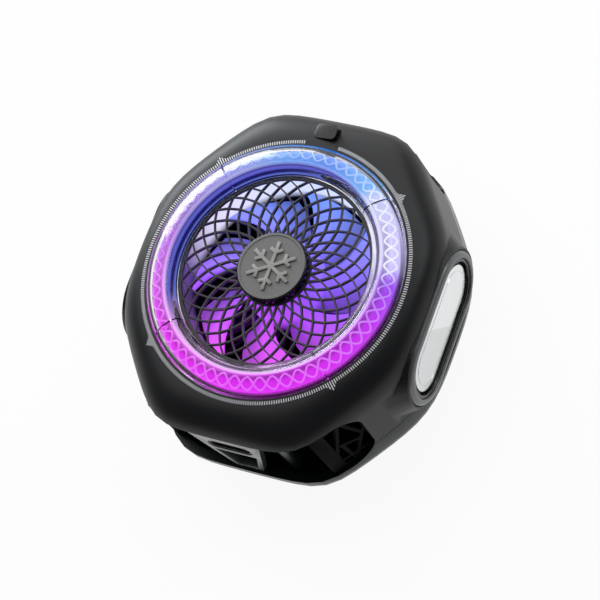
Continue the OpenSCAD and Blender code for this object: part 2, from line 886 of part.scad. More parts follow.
// Ends of each strut, as shares of the panel's length and height
struts = [
    [[0.52, 1], [1, 0.32]], [[0.52, 1], [0.2, 0.48]], [[0.2, 0.48], [0.68, 0]], [[0.2, 0.48], [0, 0.62]],
    [[0.36, 0.4], [0.75, 0.5]], [[0.75, 0.5], [0.68, 0]], [[0.3, 0.14], [1, 0.17]]
];
module outlet_lattice(reach, plate) {
    h = outlet_top - outlet_low;
    lattice_l = lattice_to - lattice_from(reach) - lattice_stop;
    color([0.16, 0.16, 0.18])
        rotate(corner_angle)
            translate([lattice_out - lattice_t, lattice_from(reach), outlet_low])
                rotate([90, 0, 90])
                    linear_extrude(lattice_t) {
                        difference() {
                            square([lattice_l, h]);
                            translate([truss_w, truss_w])
                                square([lattice_l - plate - truss_w, h - 2 * truss_w]);
                        }
                        for (ends = struts)
                            strut(ends[0], ends[1], lattice_l - plate + 0.4, h);
                    }
}

module port_lattice() {
    intersection() {
        mirror([0, 1, 0])
            outlet_lattice(outlet_reach, port_plate);
        outlet_cut(fit);
    }
}

module vent_lattice() {
    intersection() {
        outlet_lattice(vent_reach, vent_plate);
        outlet_cut(fit);
    }
}

module strut(from, to, l, h) {
    start = [from[0] * l, from[1] * h];
    step = [to[0] * l, to[1] * h] - start;
    intersection() {
        union() {
            translate(start)
                rotate(atan2(step[1], step[0]))
                    translate([0, -truss_w * 0.4])
                        square([norm(step), truss_w * 0.8]);
            for (end = [start, start + step])
                translate(end)
                    circle(d = truss_w * 1.2, $fn = 16);
        }
        square([l, h]);
    }
}

module lattice_top_right() {
    vent_lattice();
}

module lattice_top_left() {
    mirror([1, 0, 0])
        vent_lattice();
}

module lattice_bottom_right() {
    port_lattice();
}

module lattice_bottom_left() {
    mirror([1, 0, 0])
        port_lattice();
}

// Socket on the main board, its mouth inside the port frame's slot
port_y = -frame_y + 0.2;
module usb_shell() {
    color([0.75, 0.76, 0.78])
        translate([0, port_y + port_l, port_z])
            rotate([90, 0, 0])
                difference() {
                    linear_extrude(port_l)
                        pill_2d(port_w, port_h);
                    translate([0, 0, port_wall * 3])
                        linear_extrude(port_l)
                            pill_2d(port_w - 2 * port_wall, port_h - 2 * port_wall);
                }
}

tongue_w = 6.7;
tongue_t = 0.7;
tongue_l = 4.5;
module usb_tongue() {
    color([0.1, 0.1, 0.1])
        translate([-tongue_w / 2, port_y + port_l - port_wall * 3 - tongue_l, port_z - tongue_t / 2])
            cube([tongue_w, tongue_l, tongue_t]);
}

board_w = 2 * board_post_x + 4;
board_in = duct_out + 1.6;
module main_board() {
    board_edge = body_y / 2 - wall - 1;
    color([0.1, 0.3, 0.16])
        difference() {
            translate([-board_w / 2, -board_edge, board_z])
                cube([board_w, board_edge - board_in, board_t]);
            both_sides()
                translate([board_post_x, board_post_y, board_z - 1])
                    cylinder(r = 0.7, h = board_t + 2, $fn = 24);
        }
}

// Fan frame: duct, spokes, motor seat, bearing tube and the flange that carries the light ring
spoke_count = 4;
spoke_w = 2;
lug_r = 1.9;
lead_r = 0.35;
module fan_frame() {
    seat_r = yoke_r;
    color([0.93, 0.92, 0.95])
        difference() {
            union() {
                ring(duct_out, duct_r, guard_z - frame_z, frame_z);
                ring(light_out - 5 * fit, duct_r, flange_t, flange_z);
                ring(tube_r, bearing_r, stator_top - motor_z + 0.6, motor_z);
                translate([0, 0, frame_z])
                    cylinder(r = seat_r, h = frame_t, $fn = 96);
                for (i = [0 : spoke_count - 1])
                    rotate(45 + i * 90) {
                        translate([seat_r - 0.5, -spoke_w / 2, frame_z])
                            cube([duct_r - seat_r + 1, spoke_w, frame_t]);
                        translate([fan_screw_ring, 0, frame_z])
                            cylinder(r = lug_r, h = frame_t, $fn = 32);
                        translate([duct_r + 0.3, -lug_r, frame_z])
                            cube([fan_screw_ring - duct_r - 0.3, 2 * lug_r, frame_t]);
                    }
            }
            for (i = [0 : spoke_count - 1])
                rotate(45 + i * 90)
                    translate([fan_screw_ring, 0, frame_z - 1])
                        cylinder(r = fan_screw_r + fit, h = frame_t + 2, $fn = 24);
            translate([0, -duct_r - duct_t / 2, motor_z + lead_r])
                rotate([90, 0, 0])
                    cylinder(r = lead_r + fit, h = 2 * duct_t, center = true, $fn = 24);
            led_flex(2 * fit);
        }
}

// One swept blade, from inside the hub wall to the tip
blade_stations = 7;
chord_stations = 6;
blade_low = rotor_z + 0.5;
blade_top = rotor_top - 0.6;
root_half = 19;
tip_half = 21;
function blade_point(s, c, lift) =
    let (
        share = s / blade_stations,
        along = 2 * c / chord_stations - 1,
        r = mix(hub_r - 0.5, tip_r, share),
        a = blade_sweep * pow(share, 1.3) + mix(root_half, tip_half, share) * along,
        rise = mix(1, 0.8, share) * (blade_top - blade_low - blade_t) / 2,
        z = (blade_top + blade_low) / 2 + rise * sin(80 * along) / sin(80) + lift * blade_t / 2
    ) [r * cos(a), r * sin(a), z];

module blade() {
    rows = chord_stations + 1;
    sections = [
        for (s = [0 : blade_stations])
            concat(
                [for (c = [0 : chord_stations]) blade_point(s, c, -1)],
                [for (c = [chord_stations : -1 : 0]) blade_point(s, c, 1)]
            )
    ];
    count = 2 * rows;
    polyhedron(
        points = [for (section = sections) each section],
        faces = concat(
            [for (c = [0 : chord_stations - 1]) each cap_pair(c, count, 0)],
            [for (k = [0 : blade_stations - 1]) each band(k, k + 1, count)],
            [for (c = [0 : chord_stations - 1]) each cap_pair(c, count, blade_stations)]
        )
    );
}

// Two triangles that close a blade's end between stations
function cap_pair(c, count, section) =
    let (at = section * count, a = at + c, b = at + c + 1, d = at + count - 1 - c, e = at + count - 2 - c)
        section == 0 ? [[a, b, d], [b, e, d]] : [[a, d, b], [b, d, e]];

hub_top_t = 1;
hub_round = 0.8;
module fan_impeller() {
    color([0.9, 0.88, 0.96])
        union() {
            rotate_extrude($fn = 96)
                polygon([
                    [yoke_r, rotor_z], [hub_r, rotor_z], [hub_r, rotor_top - hub_round],
                    [hub_r - hub_round, rotor_top], [shaft_r, rotor_top], [shaft_r, rotor_top - hub_top_t],
                    [yoke_r, rotor_top - hub_top_t]
                ]);
            for (i = [0 : blade_count - 1])
                rotate(i * 360 / blade_count)
                    blade();
        }
}

yoke_top = rotor_top - hub_top_t;
module rotor_yoke() {
    color([0.6, 0.6, 0.62])
        rotate_extrude($fn = 96)
            polygon([
                [magnet_r, rotor_z + 0.2], [yoke_r, rotor_z + 0.2], [yoke_r, yoke_top],
                [shaft_r, yoke_top], [shaft_r, yoke_top - yoke_t], [magnet_r, yoke_top - yoke_t]
            ]);
}

magnet_low = rotor_z + 0.3;
module rotor_magnet() {
    color([0.22, 0.22, 0.24])
        ring(magnet_r, magnet_r - magnet_t, yoke_top - yoke_t - magnet_low, magnet_low);
}

thrust_t = 0.4;
module motor_shaft() {
    low = motor_z + thrust_t + fit;
    color([0.82, 0.82, 0.84])
        translate([0, 0, low])
            cylinder(r = shaft_r, h = rotor_top - low - 0.1, $fn = 32);
}

stator_low = rotor_z + 1;
stator_top = yoke_top - yoke_t - 1.4;
module bearing_sleeve() {
    low = motor_z + thrust_t;
    color([0.72, 0.55, 0.25])
        ring(bearing_r, shaft_r + bearing_fit, stator_top - low, low);
}

module thrust_pad() {
    color([0.9, 0.9, 0.85])
        translate([0, 0, motor_z])
            cylinder(r = bearing_r, h = thrust_t, $fn = 48);
}

core_wall = 0.7;
tooth_w = 0.8;
shoe_t = 0.6;
module stator_core() {
    core_r = tube_r + core_wall;
    tooth_arc = 360 / tooth_count * 0.7;
    color([0.45, 0.46, 0.48])
        translate([0, 0, stator_low])
            linear_extrude(stator_top - stator_low)
                difference() {
                    union() {
                        circle(r = core_r, $fn = 64);
                        for (i = [0 : tooth_count - 1])
                            rotate(i * 360 / tooth_count) {
                                translate([tube_r + 0.2, -tooth_w / 2])
                                    square([stator_r - tube_r - 0.4, tooth_w]);
                                intersection() {
                                    difference() {
                                        circle(r = stator_r, $fn = 64);
                                        circle(r = stator_r - shoe_t, $fn = 64);
                                    }
                                    polygon([
                                        [0, 0], [2 * stator_r, -2 * stator_r * tan(tooth_arc / 2)],
                                        [2 * stator_r, 2 * stator_r * tan(tooth_arc / 2)]
                                    ]);
                                }
                            }
                    }
                    circle(r = tube_r, $fn = 64);
                }
}

coil_t = 0.35;
module stator_coils() {
    inner = tube_r + core_wall + fit;
    l = stator_r - shoe_t - fit - inner;
    h = stator_top - stator_low;
    color([0.75, 0.4, 0.2])
        for (i = [0 : tooth_count - 1])
            rotate(i * 360 / tooth_count)
                translate([inner, 0, stator_low + h / 2])
                    difference() {
                        translate([0, -tooth_w / 2 - coil_t, -h / 2 - coil_t])
                            cube([l, tooth_w + 2 * coil_t, h + 2 * coil_t]);
                        translate([-1, -tooth_w / 2, -h / 2])
                            cube([l + 2, tooth_w, h]);
                    }
}

module motor_board() {
    color([0.1, 0.3, 0.16])
        ring(yoke_r - 0.4, tube_r + fit, board_t, motor_z);
}

// A round lead through a list of points
module lead(points, r) {
    for (k = [0 : len(points) - 2])
        let (
            from = points[k],
            step = points[k + 1] - from,
            flat = norm([step[0], step[1]])
        )
            translate(from)
                rotate([0, atan2(flat, step[2]), atan2(step[1], step[0])])
                    cylinder(r = r, h = norm(step), $fn = 16);
    for (k = [1 : len(points) - 2])
        translate(points[k])
            sphere(r = r, $fn = 16);
}

// From the motor board along the floor and through the duct to the main board
module fan_lead() {
    z = motor_z + lead_r;
    end_y = -board_in - lead_r;
    color([0.15, 0.15, 0.15])
        lead([[0, -yoke_r + 0.4, z], [0, -board_in + lead_r + fit, z]], lead_r);
}

boss_sink_r = 1.9;
fan_screw_r = 0.7;
fan_screw_l = 6;
fin_in = 8.5;
module heat_sink() {
    color([0.62, 0.63, 0.65])
        difference() {
            union() {
                translate([0, 0, sink_z])
                    cylinder(r = sink_r, h = sink_base_t, $fn = 96);
                for (i = [0 : fin_count - 1])
                    rotate((i + 0.5) * 360 / fin_count)
                        translate([fin_in, -fin_t / 2, fin_z - 0.2])
                            cube([sink_r - fin_in - 0.2, fin_t, fin_h + 0.2]);
                for (i = [0 : spoke_count - 1])
                    rotate(45 + i * 90)
                        translate([fan_screw_ring, 0, fin_z - 0.2])
                            cylinder(r = boss_sink_r, h = fin_h + 0.2, $fn = 32);
            }
            for (i = [0 : spoke_count - 1])
                rotate(45 + i * 90)
                    translate([fan_screw_ring, 0, frame_z - fan_screw_l])
                        cylinder(r = fan_screw_r, h = fan_screw_l + 1, $fn = 24);
        }
}

module tec_hot_plate() {
    color([0.95, 0.95, 0.93])
        translate([-tec_w / 2, -tec_w / 2, sink_z - ceramic_t])
            cube([tec_w, tec_w, ceramic_t]);
}

module tec_cold_plate() {
    color([0.95, 0.95, 0.93])
        translate([-tec_w / 2, -tec_w / 2, cold_t])
            cube([tec_w, tec_w, ceramic_t]);
}

pellet_share = 0.55;
module tec_pellets() {
    pitch = (tec_w - 2) / pellet_rows;
    w = pitch * pellet_share;
    color([0.5, 0.5, 0.55])
        for (i = [0 : pellet_rows - 1], j = [0 : pellet_rows - 1])
            translate([(i + 0.5) * pitch - tec_w / 2 + 1, (j + 0.5) * pitch - tec_w / 2 + 1, sink_z - tec_t / 2])
                cube([w, w, tec_t - 2 * ceramic_t], center = true);
}

// The two module leads, out through the gasket and the rear shell's slot, and up to the main board
wire_r = 0.5;
tec_pitch = (tec_w - 2) / pellet_rows;
lead_slot_w = tec_pitch + 2 * wire_r + 4 * fit;
wire_x = 0.9;
lead_y = sink_r + 1.5;
module tec_leads() {
    pitch = tec_pitch;
    start_y = -tec_w / 2 + 1 + pitch * (1 - pellet_share) / 2;
    z = rear_z + wire_r + fit;
    color([0.7, 0.1, 0.1])
        both_sides()
            lead([
                [pitch / 2, start_y, z], [pitch / 2, -lead_y + 0.6, z], [pitch / 2, -lead_y + 0.6, board_z]
            ], wire_r);
}

gasket_fit = 0.5;
module foam_gasket() {
    w = tec_w + 2 * gasket_fit;
    color([0.15, 0.15, 0.16])
        difference() {
            translate([0, 0, cold_t])
                cylinder(r = contact_r, h = tec_t, $fn = 96);
            translate([-w / 2, -w / 2, cold_t - 1])
                cube([w, w, tec_t + 2]);
            translate([0, -contact_r, sink_z])
                cube([lead_slot_w, contact_r, 2 * tec_t - 2 * ceramic_t], center = true);
        }
}

module cold_plate() {
    color([0.78, 0.79, 0.8])
        cylinder(r = contact_r, h = cold_t, $fn = 96);
}

tray_in = contact_r + 4 * fit;
groove_mid = (tray_r + tray_in) / 2 + 0.4;
module magnet_tray() {
    groove_out = groove_mid + magnet_w / 2 + fit;
    groove_in = groove_mid - magnet_w / 2 - fit;
    color([0.12, 0.12, 0.13])
        difference() {
            ring(tray_r, tray_in, tray_t, grip_t);
            ring(groove_out, groove_in, magnet_h + 1, grip_t - 1);
        }
}

magnet_space = 1.2;
module magnets() {
    gap = magnet_space / groove_mid * 180 / PI;
    color([0.7, 0.7, 0.72])
        for (i = [0 : magnet_count - 1])
            rotate(i * 360 / magnet_count)
                rotate_extrude(angle = 360 / magnet_count - gap, $fn = 96)
                    translate([groove_mid - magnet_w / 2, grip_t])
                        square([magnet_w, magnet_h]);
}

module grip_ring() {
    color([0.2, 0.2, 0.21])
        ring(tray_r - 0.3, tray_in, grip_t, 0);
}

screw_head_h = 1;
module housing_screws() {
    color([0.3, 0.3, 0.32])
        four_corners()
            translate([boss_at[0], boss_at[1], rear_z + fit])
                difference() {
                    union() {
                        cylinder(r = screw_head_r, h = screw_head_h, $fn = 32);
                        cylinder(r = screw_r, h = boss_low + screw_bite - screw_tip - rear_z - fit, $fn = 24);
                    }
                    translate([0, 0, -1])
                        cylinder(r = 0.7, h = 1.6, $fn = 6);
                }
}

module fan_screws() {
    color([0.75, 0.75, 0.77])
        for (i = [0 : spoke_count - 1])
            rotate(45 + i * 90)
                translate([fan_screw_ring, 0, motor_z]) {
                    difference() {
                        cylinder(r = 1.4, h = 0.8, $fn = 32);
                        translate([0, 0, 0.4])
                            cylinder(r = 0.6, h = 1, $fn = 6);
                    }
                    translate([0, 0, 0.5 - frame_t - fan_screw_l])
                        cylinder(r = fan_screw_r, h = frame_t + fan_screw_l - 0.3, $fn = 24);
                }
}

module board_screws() {
    color([0.75, 0.75, 0.77])
        both_sides()
            translate([board_post_x, board_post_y, board_z + board_t]) {
                cylinder(r = board_head_r, h = board_head_h, $fn = 32);
                translate([0, 0, -board_t - board_screw_l])
                    cylinder(r = board_screw_r, h = board_t + board_screw_l + fit, $fn = 24);
            }
}

front_shell();
rear_shell();
lens_right();
lens_top();
lens_left();
lens_bottom();
light_guide();
led_board();
leds();
led_flex();
fan_guard();
hub_cap();
hub_emblem();
power_button();
button_switch();
button_board();
button_flex();
badge_seat_right();
badge_seat_left();
badge_trim_right();
badge_trim_left();
badge_plate_right();
badge_plate_left();
port_frame();
vent_frame();
lattice_top_right();
lattice_top_left();
lattice_bottom_right();
lattice_bottom_left();
usb_shell();
usb_tongue();
main_board();
fan_frame();
fan_impeller();
rotor_yoke();
rotor_magnet();
motor_shaft();
bearing_sleeve();
thrust_pad();
stator_core();
stator_coils();
motor_board();
fan_lead();
heat_sink();
tec_hot_plate();
tec_pellets();
tec_cold_plate();
tec_leads();
foam_gasket();
cold_plate();
magnet_tray();
magnets();
grip_ring();
housing_screws();
fan_screws();
board_screws();
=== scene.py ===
from math import atan2, cos, pi, radians, sin

import bpy
from mathutils import Matrix, Vector


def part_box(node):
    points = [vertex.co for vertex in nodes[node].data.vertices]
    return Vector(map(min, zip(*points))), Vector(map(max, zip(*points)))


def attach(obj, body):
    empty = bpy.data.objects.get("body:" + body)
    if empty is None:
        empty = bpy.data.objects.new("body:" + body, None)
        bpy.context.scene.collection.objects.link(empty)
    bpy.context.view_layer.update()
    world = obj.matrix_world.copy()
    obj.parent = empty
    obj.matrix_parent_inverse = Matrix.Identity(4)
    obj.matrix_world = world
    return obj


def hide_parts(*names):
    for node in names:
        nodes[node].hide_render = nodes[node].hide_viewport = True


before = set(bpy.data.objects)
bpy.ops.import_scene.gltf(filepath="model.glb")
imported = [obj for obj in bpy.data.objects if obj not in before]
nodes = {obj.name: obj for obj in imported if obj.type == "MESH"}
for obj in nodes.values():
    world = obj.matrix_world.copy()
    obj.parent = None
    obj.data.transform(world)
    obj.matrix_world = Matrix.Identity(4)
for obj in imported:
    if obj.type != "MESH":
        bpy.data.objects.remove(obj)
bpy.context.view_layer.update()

mm = 0.001
mergeDistance = 2e-6
flatAngle = 0.5
bevelAngle = 38
print("frame loaded:", len(nodes), "nodes")


def deselectAll():
    if bpy.context.object and bpy.context.object.mode != "OBJECT":
        bpy.ops.object.mode_set(mode="OBJECT")
    bpy.ops.object.select_all(action="DESELECT")


def makeActive(piece):
    deselectAll()
    piece.select_set(True)
    bpy.context.view_layer.objects.active = piece


def editPiece(piece, selectMode="VERT"):
    makeActive(piece)
    bpy.ops.object.mode_set(mode="EDIT")
    bpy.ops.mesh.select_mode(type=selectMode)


def endEdit():
    bpy.ops.object.mode_set(mode="OBJECT")


def applyPlace(piece):
    makeActive(piece)
    bpy.ops.object.transform_apply(location=True, rotation=True, scale=True)


def applyModifier(piece, kind, **settings):
    makeActive(piece)
    modifier = piece.modifiers.new(kind.title(), kind)
    for name, value in settings.items():
        setattr(modifier, name, value)
    bpy.ops.object.modifier_apply(modifier=modifier.name)


def smoothPiece(piece, angle=35):
    makeActive(piece)
    bpy.ops.object.shade_smooth_by_angle(angle=radians(angle))


def tidyNormals(piece):
    editPiece(piece)
    bpy.ops.mesh.select_all(action="SELECT")
    bpy.ops.mesh.remove_doubles(threshold=mergeDistance)
    bpy.ops.mesh.normals_make_consistent(inside=False)
    endEdit()


def copyNode(nodeName, pieceName, body="housing", bevel=0.0, segments=2, angle=35):
    source = nodes[nodeName]
    piece = source.copy()
    piece.data = source.data.copy()
    piece.name = pieceName
    piece.data.name = pieceName
    for key in list(piece.keys()):
        del piece[key]
    bpy.context.scene.collection.objects.link(piece)
    piece.parent = None
    piece.matrix_world = Matrix.Identity(4)
    editPiece(piece)
    bpy.ops.mesh.select_all(action="SELECT")
    bpy.ops.mesh.customdata_custom_splitnormals_clear()
    bpy.ops.mesh.remove_doubles(threshold=mergeDistance)
    endEdit()
    if bevel:
        editPiece(piece)
        bpy.ops.mesh.select_all(action="SELECT")
        bpy.ops.mesh.dissolve_limited(angle_limit=radians(flatAngle))
        endEdit()
        applyModifier(piece, "BEVEL", width=bevel, segments=segments, limit_method="ANGLE",
                      angle_limit=radians(bevelAngle), use_clamp_overlap=True)
    smoothPiece(piece, angle)
    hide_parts(nodeName)
    placePiece(piece, body)
    return piece


def placePiece(piece, body):
    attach(piece, body)


def startPoint(name, place):
    deselectAll()
    bpy.ops.mesh.primitive_plane_add(size=mm, location=(0, 0, 0))
    piece = bpy.context.object
    piece.name = name
    bpy.ops.object.mode_set(mode="EDIT")
    bpy.ops.mesh.select_mode(type="VERT")
    bpy.ops.mesh.select_all(action="SELECT")
    bpy.ops.mesh.merge(type="CENTER")
    bpy.ops.transform.translate(value=place)
    return piece


def extrudeAlong(steps):
    for step in steps:
        bpy.ops.mesh.extrude_vertices_move(TRANSFORM_OT_translate={"value": step})


def drawProfile(name, points):
    piece = startPoint(name, Vector((points[0][0] * mm, 0, points[0][1] * mm)))
    extrudeAlong([Vector(((after[0] - before[0]) * mm, 0, (after[1] - before[1]) * mm))
                  for before, after in zip(points, points[1:])])
    bpy.ops.mesh.select_all(action="SELECT")
    bpy.ops.mesh.edge_face_add()
    endEdit()
    piece.data.name = name
    return piece


def spinProfile(name, points, steps=96, angle=360, middle=0):
    piece = drawProfile(name, points)
    editPiece(piece)
    bpy.ops.mesh.select_all(action="SELECT")
    bpy.ops.mesh.delete(type="ONLY_FACE")
    bpy.ops.mesh.select_all(action="SELECT")
    bpy.ops.mesh.spin(steps=steps, angle=radians(angle), center=(0, 0, 0), axis=(0, 0, 1))
    if angle < 360:
        bpy.ops.mesh.select_all(action="SELECT")
        bpy.ops.mesh.fill_holes(sides=0)  # close the two cut ends
    endEdit()
    tidyNormals(piece)
    if angle < 360:
        centre = sum((vertex.co for vertex in piece.data.vertices), Vector())
        piece.rotation_euler = (0, 0, radians(middle) - atan2(centre.y, centre.x))
        applyPlace(piece)
    return piece


def drawPath(name, points, radius, resolution=2):
    startPoint(name, Vector(points[0]) * mm)
    extrudeAlong([(Vector(after) - Vector(before)) * mm
                  for before, after in zip(points, points[1:] + points[:1])])
    bpy.ops.mesh.select_all(action="SELECT")
    bpy.ops.mesh.remove_doubles(threshold=mergeDistance)
    endEdit()
    bpy.ops.object.convert(target="CURVE")
    curve = bpy.context.object.data
    curve.bevel_depth = radius * mm
    curve.bevel_resolution = resolution
    curve.use_fill_caps = True
    bpy.ops.object.convert(target="MESH")
    piece = bpy.context.object
    piece.data.name = name
    return piece


def joinPieces(pieces, name):
    deselectAll()
    for piece in pieces:
        piece.select_set(True)
    bpy.context.view_layer.objects.active = pieces[0]
    bpy.ops.object.join()
    pieces[0].name = name
    pieces[0].data.name = name
    return pieces[0]


def setSocket(tree, socket, value):
    if isinstance(value, bpy.types.NodeSocket):
        tree.links.new(value, socket)
    else:
        socket.default_value = value


def addNode(tree, kind, inputs=None, **settings):
    made = tree.nodes.new(kind)
    for name, value in settings.items():
        setattr(made, name, value)
    for key, value in (inputs or {}).items():
        setSocket(tree, made.inputs[key], value)
    return made


def maths(tree, operation, first, second=None, clamp=False):
    inputs = {0: first}
    if second is not None:
        inputs[1] = second
    return addNode(tree, "ShaderNodeMath", inputs, operation=operation, use_clamp=clamp).outputs[0]


def blendColours(tree, share, first, second):
    mixed = addNode(tree, "ShaderNodeMix", {0: share, 6: first, 7: second}, data_type="RGBA")
    return mixed.outputs[2]


def rgb(r, g, b):
    def linear(c):
        return c / 12.92 if c <= 0.04045 else ((c + 0.055) / 1.055) ** 2.4
    return (linear(r / 255), linear(g / 255), linear(b / 255), 1.0)


def objectPoint(tree):
    coords = addNode(tree, "ShaderNodeTexCoord")
    return coords.outputs["Object"]


def newGroup(name, inputs, outputs):
    tree = bpy.data.node_groups.new(name, "ShaderNodeTree")
    for label, kind, value in inputs:
        socket = tree.interface.new_socket(label, in_out="INPUT", socket_type=kind)
        socket.default_value = value
    for label, kind in outputs:
        tree.interface.new_socket(label, in_out="OUTPUT", socket_type=kind)
    return tree, addNode(tree, "NodeGroupInput"), addNode(tree, "NodeGroupOutput")


def useGroup(tree, group, inputs=None):
    return addNode(tree, "ShaderNodeGroup", inputs, node_tree=group)


def newMaterial(name, roughness=0.5, metallic=0.0, **extra):
    material = bpy.data.materials.new(name)
    material.use_nodes = True
    tree = material.node_tree
    shader = tree.nodes["Principled BSDF"]
    shader.inputs["Roughness"].default_value = roughness
    shader.inputs["Metallic"].default_value = metallic
    for label, value in extra.items():
        shader.inputs[label.replace("_", " ")].default_value = value
    return material, tree, shader


def link(tree, output, socket):
    tree.links.new(output, socket)


def bumpFrom(tree, shader, height, strength, distance):
    bump = addNode(tree, "ShaderNodeBump", {"Height": height, "Strength": strength, "Distance": distance})
    link(tree, bump.outputs["Normal"], shader.inputs["Normal"])


def axisDistance(tree, point):
    split = addNode(tree, "ShaderNodeSeparateXYZ", {0: point})
    flat = addNode(tree, "ShaderNodeCombineXYZ", {0: split.outputs[0], 1: split.outputs[1]})
    away = addNode(tree, "ShaderNodeVectorMath", {0: flat.outputs[0]}, operation="LENGTH").outputs["Value"]
    return maths(tree, "MULTIPLY", away, 1000.0), split


def ramp(tree, value, stops, interpolation="LINEAR"):
    made = addNode(tree, "ShaderNodeValToRGB", {0: value})
    made.color_ramp.interpolation = interpolation
    elements = made.color_ramp.elements
    elements[0].position, elements[0].color = stops[0]
    elements[1].position, elements[1].color = stops[-1]
    for place, colour in stops[1:-1]:
        elements.new(place).color = colour
    return made.outputs[0]


def spread(tree, value, low, high, toLow=0.0, toHigh=1.0):
    made = addNode(tree, "ShaderNodeMapRange", {0: value, 1: low, 2: high, 3: toLow, 4: toHigh})
    made.clamp = True
    return made.outputs[0]


def greyStops(stops):
    return [(where, (amount, amount, amount, 1)) for where, amount in stops]


def scaleColour(tree, colour, amount):
    made = addNode(tree, "ShaderNodeVectorMath", {0: colour, "Scale": amount}, operation="SCALE")
    return made.outputs[0]


def wearGrain(tree, shader, scale, colour, tint, roughness, vary):
    grain = useGroup(tree, grainGroup, {"Scale": scale, "Colour": colour, "Tint": tint,
                                        "Roughness": roughness, "Spread": vary})
    link(tree, grain.outputs["Colour"], shader.inputs["Base Color"])
    link(tree, grain.outputs["Roughness"], shader.inputs["Roughness"])
    return grain.outputs["Height"]


# grain of a moulded or blasted skin: two sizes of noise, for colour, roughness and bump
def makeGrainGroup():
    tree, given, out = newGroup(
        "mouldedGrain",
        [("Scale", "NodeSocketFloat", 3000.0), ("Colour", "NodeSocketColor", (0.1, 0.1, 0.1, 1)),
         ("Tint", "NodeSocketFloat", 0.2), ("Roughness", "NodeSocketFloat", 0.5),
         ("Spread", "NodeSocketFloat", 0.1)],
        [("Colour", "NodeSocketColor"), ("Roughness", "NodeSocketFloat"), ("Height", "NodeSocketFloat")],
    )
    point = objectPoint(tree)
    fine = addNode(tree, "ShaderNodeTexNoise",
                   {"Vector": point, "Scale": given.outputs["Scale"], "Detail": 3.0})
    broad = addNode(tree, "ShaderNodeTexNoise", {"Vector": point, "Scale": 90.0, "Detail": 2.0})
    drift = maths(tree, "MULTIPLY", maths(tree, "ADD", fine.outputs[0], broad.outputs[0]), 0.5)
    offset = maths(tree, "SUBTRACT", drift, 0.5)
    shade = maths(tree, "ADD", 1.0, maths(tree, "MULTIPLY", offset, given.outputs["Tint"]))
    link(tree, scaleColour(tree, given.outputs["Colour"], shade), out.inputs["Colour"])
    wander = maths(tree, "MULTIPLY", offset, given.outputs["Spread"])
    rough = maths(tree, "ADD", given.outputs["Roughness"], wander, clamp=True)
    link(tree, rough, out.inputs["Roughness"])
    link(tree, fine.outputs[0], out.inputs["Height"])
    return tree


# colours of the lit ring by direction from the fan's axis, with a second, paler output
glowStops = [
    (0.00, rgb(194, 88, 238)), (0.06, rgb(226, 60, 246)), (0.14, rgb(238, 38, 244)),
    (0.28, rgb(234, 34, 250)), (0.38, rgb(226, 40, 248)), (0.45, rgb(206, 48, 248)),
    (0.51, rgb(160, 70, 244)), (0.522, rgb(176, 132, 248)), (0.532, rgb(206, 196, 254)),
    (0.58, rgb(210, 204, 254)), (0.635, rgb(206, 212, 254)), (0.655, rgb(84, 172, 248)),
    (0.72, rgb(24, 124, 238)), (0.79, rgb(54, 150, 240)), (0.835, rgb(122, 146, 226)),
    (0.90, rgb(152, 138, 224)), (0.96, rgb(164, 112, 226)), (1.00, rgb(194, 88, 238)),
]


def makeGlowGroup():
    tree, given, out = newGroup(
        "ringGlow", [("Whiten", "NodeSocketFloat", 0.5), ("Strength", "NodeSocketFloat", 1.0)],
        [("Colour", "NodeSocketColor"), ("Pale", "NodeSocketColor"), ("Share", "NodeSocketFloat")],
    )
    split = addNode(tree, "ShaderNodeSeparateXYZ", {0: objectPoint(tree)})
    turn = maths(tree, "ARCTAN2", split.outputs[1], split.outputs[0])
    share = maths(tree, "ADD", maths(tree, "DIVIDE", turn, 2 * pi), 0.5)
    colour = ramp(tree, share, glowStops)
    pale = blendColours(tree, given.outputs["Whiten"], colour, (1, 1, 1, 1))
    link(tree, scaleColour(tree, colour, given.outputs["Strength"]), out.inputs["Colour"])
    link(tree, scaleColour(tree, pale, given.outputs["Strength"]), out.inputs["Pale"])
    link(tree, share, out.inputs["Share"])
    return tree


# fine straight or round brushing in bare metal
def makeBrushGroup():
    tree, given, out = newGroup(
        "brushedLines",
        [("Point", "NodeSocketVector", (0, 0, 0)), ("Stretch", "NodeSocketVector", (200, 9000, 9000)),
         ("Colour", "NodeSocketColor", (0.7, 0.7, 0.7, 1)), ("Roughness", "NodeSocketFloat", 0.3)],
        [("Colour", "NodeSocketColor"), ("Roughness", "NodeSocketFloat"), ("Height", "NodeSocketFloat")],
    )
    longer = addNode(tree, "ShaderNodeVectorMath", {0: given.outputs["Point"], 1: given.outputs["Stretch"]},
                     operation="MULTIPLY")
    lines = addNode(tree, "ShaderNodeTexNoise", {"Vector": longer.outputs[0], "Scale": 1.0, "Detail": 4.0})
    shade = maths(tree, "ADD", 0.86, maths(tree, "MULTIPLY", lines.outputs[0], 0.28))
    link(tree, scaleColour(tree, given.outputs["Colour"], shade), out.inputs["Colour"])
    wander = maths(tree, "MULTIPLY", maths(tree, "SUBTRACT", lines.outputs[0], 0.5), 0.3)
    rough = maths(tree, "ADD", given.outputs["Roughness"], wander, clamp=True)
    link(tree, rough, out.inputs["Roughness"])
    link(tree, lines.outputs[0], out.inputs["Height"])
    return tree


grainGroup = makeGrainGroup()
glowGroup = makeGlowGroup()
brushGroup = makeBrushGroup()


def mouldedMaterial(name, colour, roughness=0.5, scale=3000.0, tint=0.3, vary=0.12, bump=0.12, depth=2e-5,
                    **extra):
    material, tree, shader = newMaterial(name, roughness, **extra)
    height = wearGrain(tree, shader, scale, colour, tint, roughness, vary)
    bumpFrom(tree, shader, height, bump, depth)
    return material


